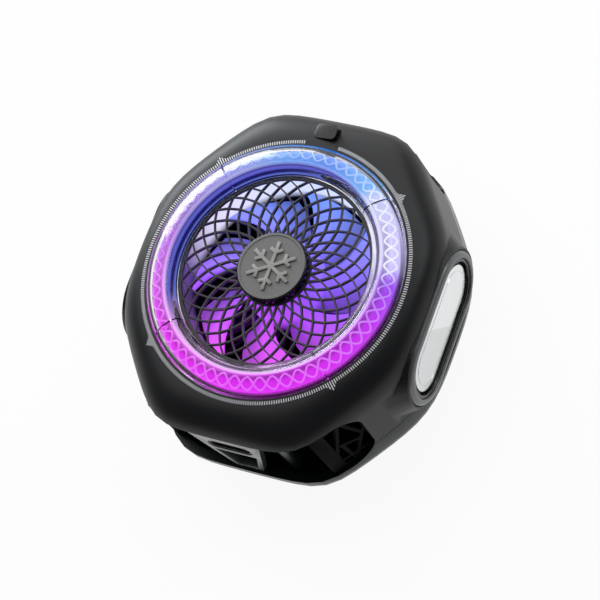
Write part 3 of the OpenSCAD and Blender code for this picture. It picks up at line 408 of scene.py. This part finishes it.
def brushedMaterial(name, colour, roughness=0.3, stretch=(200, 9000, 9000), turned=False, bump=0.1):
    material, tree, shader = newMaterial(name, roughness, metallic=1.0)
    point = objectPoint(tree)
    if turned:
        split = addNode(tree, "ShaderNodeSeparateXYZ", {0: point})
        flat = addNode(tree, "ShaderNodeCombineXYZ", {0: split.outputs[0], 1: split.outputs[1]})
        away = addNode(tree, "ShaderNodeVectorMath", {0: flat.outputs[0]}, operation="LENGTH").outputs["Value"]
        turn = maths(tree, "MULTIPLY", maths(tree, "ARCTAN2", split.outputs[1], split.outputs[0]), 0.01)
        point = addNode(tree, "ShaderNodeCombineXYZ", {0: turn, 1: away, 2: split.outputs[2]}).outputs[0]
    brush = useGroup(tree, brushGroup,
                     {"Point": point, "Stretch": stretch, "Colour": colour, "Roughness": roughness})
    link(tree, brush.outputs["Colour"], shader.inputs["Base Color"])
    link(tree, brush.outputs["Roughness"], shader.inputs["Roughness"])
    bumpFrom(tree, shader, brush.outputs["Height"], bump, 1e-5)
    return material


def dress(target, material):
    target.data.materials.clear()
    target.data.materials.append(material)


cameraSetup = {"azimuth": 57.15, "elevation": 59.43, "roll": -40.40, "lens": 160.1,
               "place": (0.218978, -0.141394, 0.454745)}


def setCamera():
    data = bpy.data.cameras.new("photoCamera")
    data.lens = cameraSetup["lens"]
    data.sensor_width = 36.0
    data.clip_start = 0.01
    data.clip_end = 20.0
    camera = bpy.data.objects.new("photoCamera", data)
    bpy.context.scene.collection.objects.link(camera)
    turn = (Matrix.Rotation(radians(cameraSetup["azimuth"]), 4, "Z")
            @ Matrix.Rotation(radians(90 - cameraSetup["elevation"]), 4, "X")
            @ Matrix.Rotation(radians(cameraSetup["roll"]), 4, "Z"))
    camera.matrix_world = Matrix.Translation(cameraSetup["place"]) @ turn
    bpy.context.scene.camera = camera


studio = {
    "key": {"place": (-0.66, 0.46, 0.16), "aim": (0, 0, 0.02), "size": 0.5, "power": 4.4,
            "colour": (0.88, 0.95, 1.0)},
    "rim": {"place": (0.38, 0.44, 0.55), "aim": (0.02, 0, 0.02), "size": 0.3, "power": 0.9,
            "colour": (0.94, 1.0, 1.0)},
    "top": {"place": (-0.40, 0.60, 0.70), "aim": (0, 0, 0.02), "size": 1.5, "power": 11.5,
            "colour": (1.0, 1.0, 1.0)},
    "overhead": 0.16, "horizon": 0.9, "dim": 0.2,
    "lean": -0.2, "sweep": (-0.6, 0.4), "fade": (0.06, 0.34), "paper": 0.93, "floorSize": 6, "floorDrop": -0.1,
    "floor": rgb(250, 250, 250),
}


def whiteRays(tree, path):
    direct = maths(tree, "ADD", path.outputs["Is Camera Ray"], path.outputs["Is Transmission Ray"])
    return maths(tree, "ADD", direct, path.outputs["Is Glossy Ray"], clamp=True)


def setStudio():
    for name in ("key", "rim", "top"):
        setup = studio[name]
        data = bpy.data.lights.new(name + "Light", "AREA")
        data.size = setup["size"]
        data.energy = setup["power"]
        data.color = setup["colour"]
        lamp = bpy.data.objects.new(name + "Light", data)
        bpy.context.scene.collection.objects.link(lamp)
        towards = Vector(setup["aim"]) - Vector(setup["place"])
        turn = towards.to_track_quat("-Z", "Y").to_matrix().to_4x4()
        lamp.matrix_world = Matrix.Translation(setup["place"]) @ turn
    world = bpy.data.worlds.new("studioWorld")
    bpy.context.scene.world = world
    world.use_nodes = True
    tree = world.node_tree
    background = tree.nodes["Background"]
    background.inputs["Color"].default_value = (1, 1, 1, 1)
    way = addNode(tree, "ShaderNodeSeparateXYZ", {0: addNode(tree, "ShaderNodeTexCoord").outputs["Generated"]})
    towardsTop = maths(tree, "ADD", maths(tree, "MULTIPLY", way.outputs[0], studio["lean"]), way.outputs[1])
    low = spread(tree, towardsTop, *studio["sweep"], studio["dim"], studio["horizon"])
    # white low down, dim overhead
    strength = spread(tree, way.outputs[2], *studio["fade"], low, studio["overhead"])
    link(tree, strength, background.inputs["Strength"])
    deselectAll()
    bpy.ops.mesh.primitive_plane_add(size=studio["floorSize"], location=(0, 0, studio["floorDrop"] * mm))
    floor = bpy.context.object
    floor.name = "studioFloor"
    material, tree, shader = newMaterial("floorPaper", 0.9)
    shader.inputs["Base Color"].default_value = studio["floor"]
    glow = addNode(tree, "ShaderNodeEmission", {"Color": (1, 1, 1, 1), "Strength": 1.0})
    path = addNode(tree, "ShaderNodeLightPath")
    seen = maths(tree, "MULTIPLY", whiteRays(tree, path), studio["paper"])
    mixed = addNode(tree, "ShaderNodeMixShader", {0: seen, 1: shader.outputs[0], 2: glow.outputs[0]})
    link(tree, mixed.outputs[0], tree.nodes["Material Output"].inputs["Surface"])
    dress(floor, material)
    view = bpy.context.scene.view_settings
    view.view_transform = "Standard"


setCamera()
print("camera set")


# front cover: satin black with the printed degree scale round the ring
frontCover = {"colour": rgb(15, 16, 19), "roughness": 0.38, "specular": 0.32, "ink": rgb(224, 226, 230),
              "inner": 26.35, "outer": 27.05, "longer": 1.2, "reach": 2.4, "halfWidth": 0.21, "gap": 7.6,
              "lowest": 26.4}


def scaleMask(tree):
    away, split = axisDistance(tree, objectPoint(tree))
    turn = maths(tree, "MULTIPLY", maths(tree, "ARCTAN2", split.outputs[1], split.outputs[0]), 180 / pi)
    degree = maths(tree, "FRACT", maths(tree, "ADD", turn, 360.5))
    onTick = maths(tree, "LESS_THAN", maths(tree, "ABSOLUTE", maths(tree, "SUBTRACT", degree, 0.5)),
                   frontCover["halfWidth"])
    corner = maths(tree, "DIVIDE", maths(tree, "SUBTRACT", turn, 45.0), 90.0)
    quarter = maths(tree, "FRACT", maths(tree, "ADD", corner, 4.5))
    beside = maths(tree, "MULTIPLY", maths(tree, "ABSOLUTE", maths(tree, "SUBTRACT", quarter, 0.5)), 90.0)
    extra = spread(tree, beside, 0.0, frontCover["reach"], frontCover["longer"], 0.0)
    beyond = maths(tree, "GREATER_THAN", away, frontCover["inner"])
    within = maths(tree, "LESS_THAN", away, maths(tree, "ADD", extra, frontCover["outer"]))
    fromButton = maths(tree, "ABSOLUTE", maths(tree, "SUBTRACT", turn, 90.0))
    clear = maths(tree, "GREATER_THAN", fromButton, frontCover["gap"])
    onTop = maths(tree, "GREATER_THAN", split.outputs[2], frontCover["lowest"] * mm)
    inRange = maths(tree, "MULTIPLY", onTick, maths(tree, "MULTIPLY", beyond, within))
    return maths(tree, "MULTIPLY", inRange, maths(tree, "MULTIPLY", clear, onTop))


def makeFrontCover():
    piece = copyNode("front_shell", "frontCover", angle=32)
    material, tree, shader = newMaterial("satinBlack", frontCover["roughness"],
                                         Specular_IOR_Level=frontCover["specular"])
    grain = useGroup(tree, grainGroup, {"Scale": 5200.0, "Colour": frontCover["colour"], "Tint": 0.35,
                                        "Roughness": frontCover["roughness"], "Spread": 0.1})
    ticks = scaleMask(tree)
    link(tree, blendColours(tree, ticks, grain.outputs["Colour"], frontCover["ink"]),
         shader.inputs["Base Color"])
    link(tree, grain.outputs["Roughness"], shader.inputs["Roughness"])
    bumpFrom(tree, shader, grain.outputs["Height"], 0.1, 1.5e-5)
    dress(piece, material)


# rear cover: smoky gloss
rearCover = {"colour": rgb(18, 26, 26), "roughness": 0.26, "specular": 0.2}


def makeRearCover():
    piece = copyNode("rear_shell", "rearCover", angle=32)
    finish = mouldedMaterial("smokyGloss", rearCover["colour"], rearCover["roughness"], scale=900.0, tint=0.25,
                             vary=0.08, bump=0.05, depth=1e-5, Specular_IOR_Level=rearCover["specular"])
    dress(piece, finish)


makeFrontCover()
makeRearCover()
print("covers made")


# four clear dome lenses with a fine seam between them
lens = {"foot": 27.2, "land": 28.0, "crest": 31.0, "inner": 28.65, "outR": 25.8, "crestR": 21.6, "inR": 19.6,
        "hollowOut": 25.0, "hollowIn": 20.4, "hollowTop": 30.2, "seam": 0.76, "steps": 60, "curve": 14}


def bow(edge, low, crest, high, steps):
    points = []
    for k in range(steps + 1):
        t = radians(90 * k / steps)
        points.append((edge + (crest - edge) * (1 - cos(t)), low + (high - low) * sin(t)))
    return points


def lensProfile():
    over = bow(lens["outR"], lens["land"], lens["crestR"], lens["crest"], lens["curve"])
    inner = bow(lens["inR"], lens["inner"], lens["crestR"], lens["crest"], lens["curve"])
    underIn = bow(lens["hollowIn"], lens["foot"], lens["crestR"], lens["hollowTop"], lens["curve"])
    underOut = bow(lens["hollowOut"], lens["foot"], lens["crestR"], lens["hollowTop"], lens["curve"])
    points = [(lens["outR"], lens["foot"])] + over + inner[::-1][1:] + [(lens["inR"], lens["foot"])]
    return points + underIn + underOut[::-1][1:]


def clearMaterial():
    material, tree, shader = newMaterial("clearLens", 0.03, IOR=1.32, Transmission_Weight=1.0)
    wearGrain(tree, shader, 700.0, rgb(250, 249, 255), 0.03, 0.035, 0.02)
    return material


def makeLenses():
    material = clearMaterial()
    for name, middle in (("Right", 0), ("Top", 90), ("Left", 180), ("Bottom", 270)):
        piece = spinProfile("lens" + name, lensProfile(), lens["steps"], 90 - lens["seam"], middle)
        smoothPiece(piece, 40)
        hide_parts("lens_" + name.lower())
        placePiece(piece, "housing")
        dress(piece, material)


# lit guide under the lenses, with its raised wave; painted highlights and a painted reflection lie on its glow
guide = {
    "legs": 24.7, "roof": 25.4, "foot": 27.2, "inR": 20.3, "outR": 25.6, "leg": 0.6,
    "humpOut": 24.8, "humpIn": 20.6, "humpR": 21.6, "humpTop": 29.8, "steps": 128, "curve": 14,
    "cells": 29, "parts": 12, "low": 33, "high": 77, "wire": 0.19, "lineLight": 0.95,
    "whiten": 0.5, "lip": (0.21, 0.29), "lipLevel": 0.9, "slope": (0.16, 0.245), "facing": (-0.004, 0.010),
    "upper": (0.002, 0.014), "fill": 0.82,
    "level": [(0.0, 0.7), (0.24, 0.85), (0.28, 0.95), (0.32, 0.8), (0.36, 0.42), (0.44, 0.5), (0.56, 0.9),
              (0.80, 1.0), (0.845, 0.06), (0.90, 0.03), (0.93, 0.95), (1.0, 0.95)],
    "crest": [(0.0, 0.0), (0.12, 0.0), (0.18, 1.0), (0.25, 1.0), (0.31, 0.0), (1.0, 0.0)],
    "streaks": [(0.0, rgb(12, 12, 50)), (0.10, rgb(14, 14, 70)), (0.15, rgb(104, 128, 228)),
                (0.28, rgb(92, 108, 218)), (0.34, rgb(22, 20, 96)), (0.56, rgb(26, 24, 116)),
                (0.62, rgb(92, 98, 212)), (0.80, rgb(112, 112, 224)), (0.87, rgb(44, 44, 150)),
                (1.0, rgb(160, 160, 246))],
    "pale": [(0.0, 0.5), (0.08, 0.9), (0.63, 1.0), (0.66, 0.3), (0.79, 0.3), (0.84, 0.5), (1.0, 0.5)],
    "lines": [(0.0, 0.0), (0.05, 0.12), (0.30, 0.12), (0.51, 0.2), (0.53, 0.75), (0.635, 0.75),
              (0.66, 0.3), (0.74, 0.26), (0.80, 0.12), (0.85, 0.0), (1.0, 0.0)],
}


def waveRoute(side):
    route = []
    for k in range(guide["cells"] * guide["parts"]):
        share = 0.5 - 0.5 * side * cos(2 * pi * k / guide["parts"])
        t = radians(guide["low"] + (guide["high"] - guide["low"]) * share)
        r = guide["humpOut"] + (guide["humpR"] - guide["humpOut"]) * (1 - cos(t))
        z = guide["foot"] + (guide["humpTop"] - guide["foot"]) * sin(t)
        a = 2 * pi * k / guide["parts"] / guide["cells"]
        route.append((r * cos(a), r * sin(a), z))
    return route


def makeGuide():
    rise = bow(guide["humpOut"], guide["foot"], guide["humpR"], guide["humpTop"], guide["curve"])
    fall = bow(guide["humpIn"], guide["foot"], guide["humpR"], guide["humpTop"], guide["curve"])
    inner, outer = guide["inR"] + guide["leg"], guide["outR"] - guide["leg"]
    points = [(guide["inR"], guide["legs"]), (inner, guide["legs"]), (inner, guide["roof"]),
              (outer, guide["roof"]), (outer, guide["legs"]), (guide["outR"], guide["legs"]),
              (guide["outR"], guide["foot"])]
    points += rise + fall[::-1][1:] + [(guide["inR"], guide["foot"])]
    piece = spinProfile("lightGuide", points, guide["steps"])
    smoothPiece(piece, 40)
    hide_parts("light_guide")
    placePiece(piece, "housing")
    dress(piece, guideMaterial())
    waves = [drawPath("zigzag", waveRoute(side), guide["wire"]) for side in (1, -1)]
    zigzag = joinPieces(waves, "guideZigzag")
    smoothPiece(zigzag, 60)
    placePiece(zigzag, "housing")
    dress(zigzag, zigzagMaterial())


def guideMaterial():
    material, tree, shader = newMaterial("litDiffuser", 0.35)
    away, split = axisDistance(tree, objectPoint(tree))
    glow = useGroup(tree, glowGroup, {"Whiten": guide["whiten"], "Strength": 1.0})
    place = spread(tree, away, guide["inR"], guide["outR"])
    # painted highlight: the crest band and the inner lip are blended toward white, more strongly on some sides
    # of the ring than on others
    lip = maths(tree, "MULTIPLY", spread(tree, place, *guide["lip"], 1.0, 0.0), guide["lipLevel"])
    crest = maths(tree, "MAXIMUM", ramp(tree, place, greyStops(guide["crest"])), lip)
    crest = maths(tree, "MULTIPLY", crest, ramp(tree, glow.outputs["Share"], greyStops(guide["pale"])))
    colour = blendColours(tree, crest, glow.outputs["Colour"], glow.outputs["Pale"])
    # painted reflection: blue streaks on the inner slope, on the side that faces up and left
    facing = spread(tree, maths(tree, "SUBTRACT", split.outputs[1], split.outputs[0]), *guide["facing"])
    inside = maths(tree, "MULTIPLY", spread(tree, place, *guide["slope"], 1.0, 0.0), facing)
    rise = spread(tree, split.outputs[2], guide["foot"] * mm, guide["humpTop"] * mm)
    colour = blendColours(tree, inside, colour, ramp(tree, rise, guide["streaks"]))
    upper = spread(tree, split.outputs[1], *guide["upper"], 0.0, guide["fill"])
    level = maths(tree, "MAXIMUM", ramp(tree, place, greyStops(guide["level"])), upper)
    wearGrain(tree, shader, 1600.0, rgb(34, 30, 52), 0.2, 0.35, 0.1)
    link(tree, scaleColour(tree, colour, level), shader.inputs["Emission Color"])
    shader.inputs["Emission Strength"].default_value = 1.0
    return material


def zigzagMaterial():
    material, tree, shader = newMaterial("litZigzag", 0.3)
    glow = useGroup(tree, glowGroup)
    paler = ramp(tree, glow.outputs["Share"], greyStops(guide["lines"]))
    lines = blendColours(tree, paler, glow.outputs["Colour"], rgb(244, 252, 255))
    wearGrain(tree, shader, 1600.0, rgb(70, 60, 90), 0.2, 0.3, 0.1)
    link(tree, lines, shader.inputs["Emission Color"])
    shader.inputs["Emission Strength"].default_value = guide["lineLight"]
    return material


makeLenses()
makeGuide()
print("light ring made")


# woven guard over the fan, hub cap and its six-armed crystal
# the guard's colour is its own near-black lifted to a violet grey: painted light from the ring on the bars
guard = {"colour": rgb(46, 44, 50), "roughness": 0.36, "specular": 0.36, "bevel": 0.1 * mm}
cap = {"r": 7.0, "low": 27.9, "top": 29.9, "round": 0.35, "foot": 0.15, "dish": 0.12, "lip": 0.7,
       "edge": 0.3, "depth": 0.4, "steps": 128, "face": rgb(106, 106, 104), "side": rgb(12, 12, 14),
       "faceRoughness": 0.42, "sideRoughness": 0.18}


def makeGuard():
    piece = copyNode("fan_guard", "fanGuard", bevel=guard["bevel"], segments=2, angle=40)
    finish = mouldedMaterial("guardSatin", guard["colour"], guard["roughness"], scale=4000.0, tint=0.3,
                             vary=0.1, Specular_IOR_Level=guard["specular"])
    dress(piece, finish)


def makeCap():
    r, top, lip = cap["r"], cap["top"], cap["r"] - cap["lip"]
    points = [(0.0, cap["low"]), (r - cap["foot"], cap["low"]), (r, cap["low"] + cap["foot"]),
              (r, top - cap["round"])]
    for a in (22.5, 45, 67.5, 90):
        t = radians(a)
        points.append((r - cap["round"] * (1 - cos(t)), top - cap["round"] * (1 - sin(t))))
    points += [(lip, top), (lip - cap["dish"], top - cap["dish"]), (0.0, top - cap["dish"])]
    piece = spinProfile("hubCap", points, cap["steps"])
    smoothPiece(piece, 30)
    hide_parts("hub_cap")
    placePiece(piece, "housing")
    material, tree, shader = newMaterial("capTwoTone", 0.3)
    away, split = axisDistance(tree, objectPoint(tree))
    onFace = maths(tree, "MULTIPLY", maths(tree, "LESS_THAN", away, r - cap["edge"]),
                   maths(tree, "GREATER_THAN", split.outputs[2], (top - cap["depth"]) * mm))
    colour = blendColours(tree, onFace, cap["side"], cap["face"])
    roughness = spread(tree, onFace, 0.0, 1.0, cap["sideRoughness"], cap["faceRoughness"])
    height = wearGrain(tree, shader, 3600.0, colour, 0.25, roughness, 0.08)
    bumpFrom(tree, shader, height, 0.1, 1e-5)
    dress(piece, material)


def makeEmblem():
    piece = copyNode("hub_emblem", "hubEmblem", bevel=0.08 * mm, segments=2, angle=40)
    dress(piece, mouldedMaterial("emblemGrey", rgb(146, 146, 143), 0.36, scale=3000.0, tint=0.2, bump=0.06))


makeGuard()
makeCap()
makeEmblem()
print("guard and hub cap made")


# power button
def makeButton():
    piece = copyNode("power_button", "powerButton", body="button", bevel=0.3 * mm,
                     segments=3, angle=40)
    finish = mouldedMaterial("buttonGloss", rgb(8, 8, 9), 0.22, scale=2600.0, tint=0.25, bump=0.03,
                             Specular_IOR_Level=0.4)
    dress(piece, finish)


# side badges: grey trim, black seat, silver plate with a fine engraved border and a painted reflection that
# lightens its upper part
badge = {"trim": rgb(108, 110, 112), "trimRoughness": 0.36, "trimBevel": 0.25 * mm, "seat": rgb(14, 14, 16),
         "plate": rgb(230, 231, 232), "plateBevel": 0.12 * mm, "border": 0.9 * mm, "groove": 0.14 * mm,
         "depth": 0.1 * mm, "middle": 15.7 * mm, "slant": 0.55, "shade": 0.86}


def engraveBorder(piece, side):
    editPiece(piece, "FACE")
    bpy.ops.mesh.select_all(action="DESELECT")
    endEdit()
    faces = piece.data.polygons
    biggest = max((face for face in faces if face.normal.x * side > 0.99), key=lambda face: face.area)
    biggest.select = True
    editPiece(piece, "FACE")
    bpy.ops.mesh.inset(thickness=badge["border"], depth=0)
    bpy.ops.mesh.inset(thickness=badge["groove"] * 0.3, depth=-badge["depth"])
    bpy.ops.mesh.inset(thickness=badge["groove"], depth=0)
    bpy.ops.mesh.inset(thickness=badge["groove"] * 0.3, depth=badge["depth"])
    endEdit()
    smoothPiece(piece, 30)


def plateMaterial():
    material, tree, shader = newMaterial("brushedSilver", 0.3, metallic=1.0)
    point = objectPoint(tree)
    split = addNode(tree, "ShaderNodeSeparateXYZ", {0: point})
    brush = useGroup(tree, brushGroup, {"Point": point, "Stretch": (9000, 260, 9000), "Colour": badge["plate"],
                                        "Roughness": 0.3})
    # painted reflection: above a slanted line across the middle the plate is lighter and a little smoother
    height = maths(tree, "SUBTRACT", split.outputs[2], badge["middle"])
    along = maths(tree, "ADD", split.outputs[1], maths(tree, "MULTIPLY", height, badge["slant"]))
    paintedReflectionHalf = maths(tree, "GREATER_THAN", along, 0.0)
    shade = maths(tree, "ADD", badge["shade"], maths(tree, "MULTIPLY", paintedReflectionHalf, 1 - badge["shade"]))
    link(tree, scaleColour(tree, brush.outputs["Colour"], shade), shader.inputs["Base Color"])
    smoother = maths(tree, "MULTIPLY", paintedReflectionHalf, -0.08)
    rough = maths(tree, "ADD", brush.outputs["Roughness"], smoother, clamp=True)
    link(tree, rough, shader.inputs["Roughness"])
    bumpFrom(tree, shader, brush.outputs["Height"], 0.08, 1e-5)
    return material


def makeBadges():
    trimFinish = mouldedMaterial("trimSatin", badge["trim"], badge["trimRoughness"], scale=2600.0, tint=0.2,
                                 bump=0.06, metallic=0.6)
    seatFinish = mouldedMaterial("seatGloss", badge["seat"], 0.15, scale=1200.0, tint=0.2, bump=0.03)
    plateFinish = plateMaterial()
    for name, side in (("Right", 1), ("Left", -1)):
        lower = name.lower()
        trim = copyNode("badge_trim_" + lower, "badgeTrim" + name, bevel=badge["trimBevel"],
                        segments=3, angle=40)
        dress(trim, trimFinish)
        seat = copyNode("badge_seat_" + lower, "badgeSeat" + name, bevel=0.1 * mm, angle=40)
        dress(seat, seatFinish)
        plate = copyNode("badge_plate_" + lower, "badgePlate" + name,
                         bevel=badge["plateBevel"], segments=2, angle=40)
        engraveBorder(plate, side)
        dress(plate, plateFinish)


# outlet frames, lattices and the power socket
outlet = {"frame": rgb(72, 80, 80), "frameBevel": 0.22 * mm, "lattice": rgb(5, 5, 6), "latticeBevel": 0.12 * mm}
contact = {"count": 12, "pitch": 0.5, "size": (0.25, 3.2, 0.06), "front": -32.4, "gold": rgb(232, 188, 96)}


def makeOutlets():
    frameFinish = mouldedMaterial("frameSatin", outlet["frame"], 0.3, scale=2400.0, tint=0.2, bump=0.06,
                                  Coat_Weight=0.2)
    latticeFinish = mouldedMaterial("latticeSatin", outlet["lattice"], 0.75, scale=2400.0, tint=0.25, bump=0.06,
                                    Specular_IOR_Level=0.06)
    for name in ("port", "vent"):
        made = copyNode(name + "_frame", name + "Frame", bevel=outlet["frameBevel"],
                        segments=3, angle=40)
        dress(made, frameFinish)
    for name in ("top_right", "top_left", "bottom_right", "bottom_left"):
        made = copyNode("lattice_" + name, "lattice" + name.title().replace("_", ""),
                        bevel=outlet["latticeBevel"], segments=2, angle=40)
        dress(made, latticeFinish)


def makeContacts():
    low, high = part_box("usb_tongue")
    strips = []
    for side in (1, -1):
        z = high[2] if side > 0 else low[2]
        for k in range(contact["count"]):
            deselectAll()
            x = (k - (contact["count"] - 1) / 2) * contact["pitch"] * mm
            size = Vector(contact["size"]) * mm
            bpy.ops.mesh.primitive_cube_add(size=1, location=(x, contact["front"] * mm + size.y / 2, z))
            strip = bpy.context.object
            strip.scale = size
            applyPlace(strip)
            applyModifier(strip, "BEVEL", width=0.02 * mm, segments=1)
            strips.append(strip)
    piece = joinPieces(strips, "socketContacts")
    placePiece(piece, "housing")
    dress(piece, brushedMaterial("contactGold", contact["gold"], 0.22, (9000, 300, 9000)))


makeButton()
makeBadges()
makeOutlets()
makeContacts()
print("button, badges and outlets made")


# fan: white blades with the ring's light painted on as glow and with painted shade toward their lower edges, in
# a pale duct that also carries painted glow and painted shade
fan = {"base": rgb(120, 112, 150), "low": rgb(222, 66, 240), "middle": rgb(138, 74, 236),
       "high": rgb(80, 126, 240), "middleAt": 0.42, "glow": 1.15, "reach": 17.0, "fall": 1.1, "dark": 17.6,
       "bright": 22.2, "wallR": 18.5, "wallLow": 20.0, "wallHigh": 22.6, "ductDark": -3.0, "ductLit": 8.0,
       "ductPale": 0.72, "ductLight": 0.88}


def paintedRingLight(name, base, level):
    material, tree, shader = newMaterial(name, 0.35)
    split = addNode(tree, "ShaderNodeSeparateXYZ", {0: objectPoint(tree)})
    # painted light: the ring's colour by side, magenta low in Y to blue high in Y, glows from the blades; their
    # lavender-grey base is the same painted tint over white
    across = spread(tree, split.outputs[1], -fan["reach"] * mm, fan["reach"] * mm)
    colour = ramp(tree, across, [(0.0, fan["low"]), (fan["middleAt"], fan["middle"]), (1.0, fan["high"])])
    wearGrain(tree, shader, 1800.0, base, 0.15, 0.35, 0.1)
    # painted shade: the glow fades toward the blades' lower edges
    height = spread(tree, split.outputs[2], fan["dark"] * mm, fan["bright"] * mm)
    paintedGlow = scaleColour(tree, colour, maths(tree, "POWER", height, fan["fall"]))
    link(tree, paintedGlow, shader.inputs["Emission Color"])
    shader.inputs["Emission Strength"].default_value = level
    return material


def makeFan():
    piece = copyNode("fan_impeller", "fanImpeller", body="rotor", angle=42)
    dress(piece, paintedRingLight("bladesPaintedRingLight", fan["base"], fan["glow"]))


def frameMaterial():
    material, tree, shader = newMaterial("ductWhite", 0.35)
    away, split = axisDistance(tree, objectPoint(tree))
    # the duct wall is pale above the blades and fades to near-black lower down, a painted shade; parts inside
    # the wall radius get the same near-black
    wall = maths(tree, "MULTIPLY", maths(tree, "GREATER_THAN", away, fan["wallR"]),
                 spread(tree, split.outputs[2], fan["wallLow"] * mm, fan["wallHigh"] * mm))
    colour = blendColours(tree, wall, rgb(14, 14, 16), rgb(150, 148, 158))
    wearGrain(tree, shader, 1800.0, colour, 0.15, 0.35, 0.1)
    # painted light: over the top side of the duct the wall glows with the ring's pale colour
    glow = useGroup(tree, glowGroup, {"Whiten": fan["ductPale"], "Strength": fan["ductLight"]})
    upper = spread(tree, split.outputs[1], fan["ductDark"] * mm, fan["ductLit"] * mm)
    paintedGlow = blendColours(tree, maths(tree, "MULTIPLY", wall, upper), (0, 0, 0, 1), glow.outputs["Pale"])
    link(tree, paintedGlow, shader.inputs["Emission Color"])
    shader.inputs["Emission Strength"].default_value = 1.0
    return material


makeFan()
print("fan made")


# finishes of the pieces that stay as they come
def dressRest():
    finishes = {
        "fan_frame": frameMaterial(),
        # the heat sink is near-black as painted shade, so the gaps between the blades read dark
        "heat_sink": mouldedMaterial("sinkNearBlack", rgb(30, 30, 33), 0.4, scale=2600.0, tint=0.3, bump=0.08,
                                     metallic=0.7),
        "cold_plate": brushedMaterial("contactAluminium", rgb(206, 208, 212), 0.26, (30000, 9000, 9000),
                                      turned=True),
        "steel": brushedMaterial("turnedSteel", rgb(196, 197, 200), 0.24, (4000, 4000, 9000)),
        "screws": brushedMaterial("darkScrews", rgb(84, 85, 90), 0.32, (5000, 5000, 5000)),
        "magnets": brushedMaterial("nickelMagnets", rgb(190, 188, 182), 0.22, (3000, 3000, 3000)),
        "ferrite": mouldedMaterial("ferriteGrey", rgb(58, 58, 60), 0.6, scale=4000.0, tint=0.5, bump=0.2),
        "ceramic": mouldedMaterial("whiteCeramic", rgb(236, 234, 228), 0.5, scale=3000.0, tint=0.12, bump=0.1),
        "pellets": mouldedMaterial("pelletGrey", rgb(116, 114, 118), 0.45, scale=3500.0, tint=0.5, bump=0.2,
                                   metallic=0.6),
        "bronze": mouldedMaterial("sinteredBronze", rgb(176, 128, 74), 0.5, scale=6000.0, tint=0.5, bump=0.2,
                                  metallic=1.0),
        "copper": brushedMaterial("enamelCopper", rgb(196, 104, 52), 0.28, (9000, 9000, 22000)),
        "board": boardMaterial(),
        "flex": mouldedMaterial("amberFilm", rgb(204, 132, 46), 0.3, scale=1500.0, tint=0.3, bump=0.04),
        "leds": ledMaterial(),
        "wireBlack": mouldedMaterial("wireBlack", rgb(26, 26, 28), 0.45, scale=2600.0, tint=0.3, bump=0.06),
        "wireRed": mouldedMaterial("wireRed", rgb(176, 28, 30), 0.42, scale=2600.0, tint=0.3, bump=0.06),
        "foam": mouldedMaterial("foamBlack", rgb(36, 36, 38), 0.9, scale=2200.0, tint=0.8, bump=0.6,
                                depth=1e-4),
        "rubber": mouldedMaterial("gripRubber", rgb(30, 30, 32), 0.72, scale=3600.0, tint=0.4, bump=0.25,
                                  depth=3e-5),
        "tray": mouldedMaterial("traySatin", rgb(26, 26, 28), 0.42, scale=3600.0, tint=0.3, bump=0.1),
        "switch": mouldedMaterial("switchBlack", rgb(22, 22, 24), 0.45, scale=2600.0, tint=0.3, bump=0.06),
    }
    wears = {
        "fan_frame": "fan_frame", "heat_sink": "heat_sink", "cold_plate": "cold_plate", "rotor_yoke": "steel",
        "motor_shaft": "steel", "usb_shell": "screws", "stator_core": "steel", "housing_screws": "screws",
        "fan_screws": "screws", "board_screws": "screws", "magnets": "magnets", "rotor_magnet": "ferrite",
        "tec_hot_plate": "ceramic", "tec_cold_plate": "ceramic", "tec_pellets": "pellets",
        "bearing_sleeve": "bronze", "thrust_pad": "wireBlack", "stator_coils": "copper", "led_board": "board",
        "main_board": "board", "button_board": "board", "motor_board": "board", "led_flex": "flex",
        "button_flex": "flex", "leds": "leds", "fan_lead": "wireBlack", "tec_leads": "wireRed",
        "foam_gasket": "foam", "grip_ring": "rubber", "magnet_tray": "tray", "button_switch": "switch",
        "usb_tongue": "switch",
    }
    for nodeName, finish in wears.items():
        dress(nodes[nodeName], finishes[finish])


def boardMaterial():
    material, tree, shader = newMaterial("boardGreen", 0.4)
    point = objectPoint(tree)
    cells = addNode(tree, "ShaderNodeTexVoronoi", {"Vector": point, "Scale": 900.0}, feature="DISTANCE_TO_EDGE")
    track = maths(tree, "LESS_THAN", cells.outputs[0], 0.06)
    colour = blendColours(tree, track, rgb(18, 74, 44), rgb(44, 120, 70))
    wearGrain(tree, shader, 2600.0, colour, 0.2, 0.4, 0.1)
    bumpFrom(tree, shader, track, 0.2, 2e-5)
    return material


def ledMaterial():
    material, tree, shader = newMaterial("ledBodies", 0.35)
    glow = useGroup(tree, glowGroup, {"Whiten": 0.7, "Strength": 1.0})
    wearGrain(tree, shader, 2600.0, rgb(226, 224, 206), 0.2, 0.35, 0.1)
    link(tree, glow.outputs["Pale"], shader.inputs["Emission Color"])
    shader.inputs["Emission Strength"].default_value = 1.0
    return material


dressRest()
print("finishes given")

setStudio()
print("floor and lights set")
